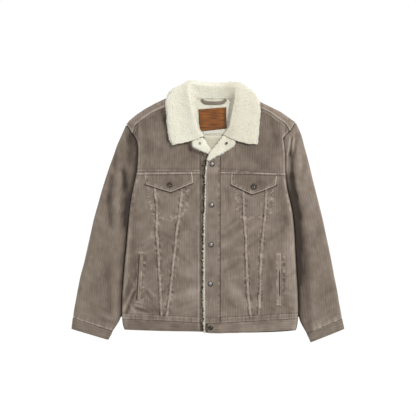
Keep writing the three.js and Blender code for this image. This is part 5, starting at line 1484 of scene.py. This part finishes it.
def build_label_and_loop():
    """Bare woven label, and the tape that the jacket hangs from."""
    plan, u, v = coons([(-12, 216.6), (38, 218.4)], [(-12, 224.2), (38, 229.6)],
                       [(-12, 216.6), (-12, 224.2)], [(38, 218.4), (38, 229.6)], 14, 40)
    z = OVER_LINING + 1.0 + 0.5 * np.sin(u * 5)[None] - 0.5 * v[:, None]
    trim("care_label", "label", plan, z, (0, OVER_LINING - 0.8))

    plan, u, v = coons([(-21, 311), (-12, 302), (2, 299.4), (32, 299.4), (45, 302), (54, 311)],
                       [(-15, 316), (-8, 310.4), (4, 308.4), (30, 308.4), (40, 310.4), (48, 316)],
                       [(-21, 311), (-15, 316)], [(54, 311), (48, 316)], 12, 90)
    rise = OVER_LINING + 0.9 + 1.6 * np.sin(np.pi * u)[None]
    z = rise + 1.2 * np.sqrt(np.maximum(0, 1 - (2 * v - 1) ** 4))[:, None]
    trim("hanger_loop", "tape", plan, z, (0.3, OVER_LINING + 0.2))


def turned(profile, x, y, z, sides=40):
    """Points and faces of a profile turned round an upright axis."""
    angle = np.linspace(0, 2 * math.pi, sides, endpoint=False)
    points, faces = [], []
    for r, h in profile:
        points += [(x + r * math.cos(a), y + r * math.sin(a), z + h) for a in angle]
    for i in range(len(profile) - 1):
        for k in range(sides):
            n = (k + 1) % sides
            faces.append((i * sides + k, i * sides + n, (i + 1) * sides + n, (i + 1) * sides + k))
    faces.append(tuple((len(profile) - 1) * sides + k for k in range(sides)))
    return points, faces


def joined(name, parts, material):
    points, faces = [], []
    for new_points, new_faces in parts:
        faces += [tuple(len(points) + k for k in face) for face in new_faces]
        points += new_points
    mesh = bpy.data.meshes.new(name)
    mesh.from_pydata([(x * MM, y * MM, z * MM) for x, y, z in points], [], faces)
    return dress(mesh, name, material)


def build_snaps():
    """Domed caps with a rolled rim and a ring pressed round the crown."""
    cap = [(6.6, -0.4), (7, 0.2), (7, 0.9), (6.6, 1.4), (5.9, 1.5), (5.3, 1.25), (4.9, 1.45), (4.2, 2.0),
           (3.2, 2.45), (2.4, 2.6), (2.0, 2.4), (1.4, 2.5), (0.4, 2.75)]
    top = PLACKET_TOP + 1.1
    flap_top = FRONT_TOP + 0.4 + FLAP_WALL + 0.7
    dish = [(6.6, -0.4), (7, 0.4), (6.9, 1.2), (6.3, 1.7), (5.6, 1.6), (5.1, 0.9), (4.2, 0.7), (2.6, 0.9),
            (0.5, 1.2)]
    parts = [turned(cap, x, y, top - (0.8 if y < -312 else 0)) for x, y in PLACKET_SNAPS]
    parts += [turned(dish, x, y, flap_top) for x, y in FLAP_SNAPS]
    obj = joined("snap_caps", parts, material_of("snap bronze"))
    place(obj, "snap", *[f"placket_snap_{k}" for k in range(1, 6)], "flap_snap_right", "flap_snap_left")
    # The bright crowns, set off the middle of each cap, are painted glints
    crown, wide_crown = (
        [(r * size, h + level) for r, h in [(1.0, 0.8), (0.9, 1.5), (0.6, 2.0), (0.15, 2.1)]]
        for size, level in ((1.9, 0), (5.0, 1.0))
    )
    parts = [turned(wide_crown, x - 0.5, y + 0.6, top) for x, y in PLACKET_SNAPS[:4]]
    parts += [turned(crown, x + 1.8, y - 1.8, flap_top) for x, y in FLAP_SNAPS]
    obj = joined("snap_crown_glints", parts, material_of("snap glint steel"))
    place(obj, "snap")
    ring = [(3.3, -0.6), (3.4, 0.6), (3.0, 1.0), (2.4, 1.0), (1.9, 0.4), (0.3, 0.2)]
    right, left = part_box("revers_snap_right"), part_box("revers_snap_left")
    parts = [
        turned(ring, *[(a + b) / 2 / MM for a, b in zip(low, high)][:2], low[2] / MM + 0.1)
        for low, high in (right, left)
    ]
    obj = joined("snap_rings", parts, material_of("snap bronze"))
    place(obj, "snap", "revers_snap_right", "revers_snap_left")


# Stitches

def along(points, pitch):
    """Even places along a path, with its direction there."""
    p = np.array(points, float)
    run = np.concatenate([[0], np.cumsum(np.hypot(*np.diff(p, axis=0).T))])
    count = max(int(run[-1] / pitch), 1)
    at = (np.arange(count) + 0.5) / count * run[-1]
    spot = lambda t: np.column_stack([np.interp(t, run, p[:, 0]), np.interp(t, run, p[:, 1])])
    return spot(at), spot(np.minimum(at + 0.5, run[-1])) - spot(np.maximum(at - 0.5, 0))


def offset(points, distance):
    p = np.array(points, float)
    ahead = np.gradient(p, axis=0)
    ahead /= np.maximum(np.linalg.norm(ahead, axis=1), 1e-9)[:, None]
    return p + np.column_stack([-ahead[:, 1], ahead[:, 0]]) * distance


def stitch_rows():
    """Every row of stitches: its path in plan, and the height of the cloth under it."""
    rows = []
    ys = np.linspace(-298, 104, 80)
    right, left = (lambda x, y: front(x, y)[0]), (lambda x, y: front(x, y, overlap_lift)[0])
    for seam, level in ((outer_right, right), (inner_right, right), (inner_left, left), (outer_left, left)):
        for side in (-2.4, 2.4):
            rows.append((np.column_stack([seam(ys) + side, ys]), level))
    crossing = [
        (yoke_seam, 40, (2.0, 5.4), -198, -22, right), (yoke_seam, 40, (2.0, 5.4), 36, 215, left),
        (waist_seam, 50, (3.0, 12.5), -236, -22, right), (waist_seam, 50, (3.0, 12.5), 36, 248, left),
    ]
    for seam, count, rises, low, high, level in crossing:
        xs = np.linspace(low, high, count)
        rows += [(np.column_stack([xs, seam(xs) + rise]), level) for rise in rises]
    rows += [(np.array(path), level) for path, level in ((bag_right, right), (bag_left, left))]
    ys = np.linspace(-306, 150, 90)
    placket = lambda x, y: placket_surface(x, y)[0]
    rows.append((np.column_stack([front_edge(ys) + EDGE_PILE + 6, ys]), placket))
    rows.append((np.column_stack([np.full(90, PLACKET_SEAM - 2.2), ys]), placket))
    for sewn, lifted in ((YOKE_RIGHT_ARMHOLE[1:], no_lift), (YOKE_LEFT_ARMHOLE[1:-1], overlap_lift)):
        inner = -6.0 if sewn[0][0] < 0 else 6.0
        path = offset(rounded_path(sewn, 8), inner)
        rows.append((path, lambda x, y, s=sewn, f=lifted: yoke_surface(x, y, s, f)[0]))
    for name, bottom, _, left_side, right_side, over in FLAPS:
        lifted = overlap_lift if over else no_lift
        low, left_of, right_of = straight(bottom), straight(left_side, 1), straight(right_side, 1)
        seed = 80 if "right" in name else 90
        level = lambda x, y, a=(low, left_of, right_of, lifted, seed): flap_surface(x, y, *a)[0]
        tip = [p for p in bottom if left_of(p[1]) <= p[0] <= right_of(p[1])]
        for inset in (2.0, 6.5):
            path = [(x, y + inset) for x, y in tip]
            path = [(left_of(100) + inset, 98), *path, (right_of(100) - inset, 97)]
            path = [(min(max(x, left_of(y) + inset), right_of(y) - inset), y) for x, y in path]
            rows.append((np.array(path), level))
    return rows


def stitch_points(pitch):
    """Place and direction of every stitch."""
    spots, ways = [], []
    for path, level in stitch_rows():
        at, way = along(path, pitch)
        z = level(at[:, 0], at[:, 1])
        rise = level(at[:, 0] + 0.4 * way[:, 0], at[:, 1] + 0.4 * way[:, 1]) - z
        spots.append(np.column_stack([at, z + 0.12]))
        ways.append(np.column_stack([way, np.clip(rise, -0.3, 0.3)]))
    return np.concatenate(spots), np.concatenate(ways)


def stitch_nodes():
    """Sets a thread along the direction of each point."""
    tree, entry, out = group(
        "Stitch rows", "GeometryNodeTree",
        [("Geometry", "NodeSocketGeometry", None), ("Length", "NodeSocketFloat", 0.0025),
         ("Width", "NodeSocketFloat", 0.0006), ("Material", "NodeSocketMaterial", None)],
        [("Geometry", "NodeSocketGeometry")],
    )
    ball = node(tree, "GeometryNodeMeshUVSphere", {"Segments": 6, "Rings": 4, "Radius": 0.5})
    size = node(tree, "ShaderNodeCombineXYZ", {
        0: entry.outputs["Length"], 1: entry.outputs["Width"], 2: entry.outputs["Width"],
    })
    way = node(tree, "GeometryNodeInputNamedAttribute", {"Name": "way"}, data_type="FLOAT_VECTOR")
    turn = node(tree, "FunctionNodeAlignRotationToVector", {"Vector": way.outputs[0]}, axis="X")
    put = node(tree, "GeometryNodeInstanceOnPoints", {
        "Points": entry.outputs["Geometry"], "Instance": ball.outputs[0], "Rotation": turn.outputs[0],
        "Scale": size.outputs[0],
    })
    real = node(tree, "GeometryNodeRealizeInstances", {0: put.outputs[0]})
    dyed = node(tree, "GeometryNodeSetMaterial", {
        "Geometry": real.outputs[0], "Material": entry.outputs["Material"],
    })
    tree.links.new(dyed.outputs[0], out.inputs[0])
    return tree


def baked(obj, tree, values):
    """Runs a node tree on an object and keeps its result as a plain mesh."""
    modifier = obj.modifiers.new("rows", "NODES")
    modifier.node_group = tree
    for item in tree.interface.items_tree:
        if item.in_out == "INPUT" and item.name in values:
            modifier[item.identifier] = values[item.name]
    graph = bpy.context.evaluated_depsgraph_get()
    mesh = bpy.data.meshes.new_from_object(obj.evaluated_get(graph))
    obj.modifiers.remove(modifier)
    old = obj.data
    obj.data = mesh
    bpy.data.meshes.remove(old)
    mesh.shade_smooth()


def build_stitches(settings):
    """Topstitching, one thread for each stitch."""
    spots, ways = stitch_points(settings.stitch_pitch)
    mesh = bpy.data.meshes.new("stitches")
    mesh.from_pydata((spots * MM).tolist(), [], [])
    way = mesh.attributes.new("way", "FLOAT_VECTOR", "POINT")
    way.data.foreach_set("vector", ways.astype(np.float32).ravel())
    obj = added("stitches", mesh)
    baked(obj, stitch_nodes(), {
        "Length": settings.stitch_length * MM, "Width": settings.stitch_width * MM,
        "Material": material_of("thread"),
    })
    place(obj, "corduroy")


# Stage

def build_stage(settings):
    """Camera straight above, white floor, even light and the main lamp. Places here are in metres."""
    camera = bpy.data.cameras.new("camera")
    camera.lens, camera.sensor_width = 85, 36
    eye = added("camera", camera)
    middle_x, middle_y, middle_height = 0.0003, 0.0098, 0.012
    height = settings.view_width * camera.lens / camera.sensor_width + middle_height
    eye.location = (middle_x, middle_y, height)
    bpy.context.scene.camera = eye
    bpy.context.scene.view_settings.view_transform = "Standard"

    half, level = 4.0, -0.0003
    mesh = bpy.data.meshes.new("floor")
    corners = [(x * half, y * half, level) for x, y in ((-1, -1), (1, -1), (1, 1), (-1, 1))]
    mesh.from_pydata(corners, [], [(0, 1, 2, 3)])
    material, _, shader = new_material("white paper", 1.0, Specular_IOR_Level=0.0, Emission_Strength=1.02)
    shader.inputs["Base Color"].default_value = (0, 0, 0, 1)
    shader.inputs["Emission Color"].default_value = (1, 1, 1, 1)
    mesh.materials.append(material)
    added("floor", mesh)

    world = bpy.data.worlds.new("room")
    world.use_nodes = True
    world.node_tree.nodes["Background"].inputs["Color"].default_value = (1, 1, 1, 1)
    world.node_tree.nodes["Background"].inputs["Strength"].default_value = settings.room_light
    bpy.context.scene.world = world
    lamp = bpy.data.lights.new("key", "AREA")
    lamp.energy, lamp.size = settings.key_power, settings.key_size
    key = added("key", lamp)
    key.location = settings.key_place
    aim = -np.array(settings.key_place)
    flat = math.hypot(aim[0], aim[1])
    key.rotation_euler = (math.atan2(flat, -aim[2]), 0, math.atan2(aim[1], aim[0]) - math.pi / 2)


# Add-on

class ClothSettings(bpy.types.PropertyGroup):
    cloth_colour: FloatVectorProperty(
        name="Corduroy", description="Middle colour of the corduroy", subtype="COLOR",
        default=(0.168, 0.132, 0.104))
    # Dark end of the corduroy's colours, where painted shade falls: between wales, beside seams and in folds
    cloth_dark: FloatVectorProperty(
        name="Corduroy valleys", description="Colour between wales and beside seams", subtype="COLOR",
        default=(0.034, 0.025, 0.019))
    # Light end, for worn wales and seams and for painted light on crests
    cloth_light: FloatVectorProperty(
        name="Corduroy crowns", description="Colour of worn wales and seams", subtype="COLOR",
        default=(0.360, 0.305, 0.255))
    pile_colour: FloatVectorProperty(
        name="Sherpa", description="Colour of the pile's crowns", subtype="COLOR",
        default=(0.615, 0.6, 0.505))
    # Dark end of the sherpa's colours, for the painted shade between the nubs and in its shaded places
    pile_dark: FloatVectorProperty(
        name="Sherpa depths", description="Colour between the nubs", subtype="COLOR",
        default=(0.43, 0.405, 0.32))
    thread_colour: FloatVectorProperty(
        name="Thread", description="Colour of the topstitching", subtype="COLOR",
        default=(0.20, 0.165, 0.135))


class StitchSettings(bpy.types.PropertyGroup):
    stitch_pitch: FloatProperty(
        name="Pitch", description="Millimetres from stitch to stitch", default=3.2, min=2.0, max=8.0)
    stitch_length: FloatProperty(
        name="Length", description="Millimetres of thread that show", default=2.5, min=1.0, max=6.0)
    stitch_width: FloatProperty(
        name="Width", description="Millimetres across the thread", default=0.6, min=0.2, max=1.5)


class StageSettings(bpy.types.PropertyGroup):
    view_width: FloatProperty(
        name="View width", description="Width seen on the floor", default=1.166, min=0.5, max=3,
        unit="LENGTH")
    room_light: FloatProperty(
        name="Room light", description="Strength of the even light", default=0.73, min=0)
    key_power: FloatProperty(name="Key power", description="Watts of the main lamp", default=78.0, min=0)
    key_size: FloatProperty(
        name="Key size", description="Side of the main lamp", default=0.7, min=0.1, unit="LENGTH")
    key_place: FloatVectorProperty(
        name="Key place", description="Where the main lamp hangs", subtype="XYZ", default=(1.15, 1.2, 2.4))


def operator(name, label, doc, work):
    """An operator class that builds one group of like pieces."""
    def execute(self, context):
        work()
        return {"FINISHED"}
    return type("JACKET_OT_" + name, (bpy.types.Operator,), {
        "bl_idname": "jacket." + name, "bl_label": label, "__doc__": doc, "execute": execute,
    })


OPERATORS = [
    operator("back", "Back", "Yoke, panel and waistband of the back", build_back),
    operator("fronts", "Fronts", "Front panels with their raised seams", build_fronts),
    operator("yokes", "Yokes", "Front yokes", build_yokes),
    operator("strips", "Shoulder strips", "Back yoke's roll over the shoulders", build_strips),
    operator("plackets", "Plackets", "Overlaps of the two fronts", build_plackets),
    operator("waistbands", "Waistbands", "Front waistbands", build_waistbands),
    operator("flaps", "Flaps", "Chest pocket flaps", build_flaps),
    operator("welts", "Welts", "Hand pocket welts", build_welts),
    operator("sleeves", "Sleeves", "Flattened sleeves", build_sleeves),
    operator("cuffs", "Cuffs", "Cuffs open at the wrist", build_cuffs),
    operator("lining", "Lining", "Sherpa seen inside the neck", build_lining),
    operator("collar", "Collar", "Sherpa collar", build_collar),
    operator("revers", "Turned edges", "Sherpa turned out below the collar", build_revers),
    operator("edge_pile", "Edge pile", "Pile along the upper front's edge", build_edge_pile),
    operator("patch", "Patch", "Leather patch", build_patch),
    operator("label_loop", "Label and loop", "Care label and hanging loop", build_label_and_loop),
    operator("snaps", "Snaps", "Snap caps and rings", build_snaps),
    operator("stitches", "Stitches", "Topstitching",
             lambda: build_stitches(bpy.context.scene.jacket_stitches)),
    operator("stage", "Stage", "Camera, lamp and floor",
             lambda: build_stage(bpy.context.scene.jacket_stage)),
]


class JACKET_PT_panel(bpy.types.Panel):
    bl_label = "Jacket"
    bl_space_type = "VIEW_3D"
    bl_region_type = "UI"
    bl_category = "Jacket"

    def draw(self, context):
        for made in OPERATORS:
            self.layout.operator(made.bl_idname)
        scene = context.scene
        for settings in (scene.jacket_cloth, scene.jacket_stitches, scene.jacket_stage):
            for key in settings.bl_rna.properties.keys():
                if key not in {"rna_type", "name"}:
                    self.layout.prop(settings, key)


SETTINGS = {"jacket_cloth": ClothSettings, "jacket_stitches": StitchSettings, "jacket_stage": StageSettings}


def register():
    for made in (*SETTINGS.values(), *OPERATORS, JACKET_PT_panel):
        bpy.utils.register_class(made)
    for name, kind in SETTINGS.items():
        setattr(bpy.types.Scene, name, PointerProperty(type=kind))


def unregister():
    for name in SETTINGS:
        delattr(bpy.types.Scene, name)
    for made in reversed((*SETTINGS.values(), *OPERATORS, JACKET_PT_panel)):
        bpy.utils.unregister_class(made)


def main():
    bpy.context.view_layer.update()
    register()
    for made in OPERATORS:
        getattr(bpy.ops.jacket, made.bl_idname.split(".")[1])()


if __name__ == "__main__":
    main()
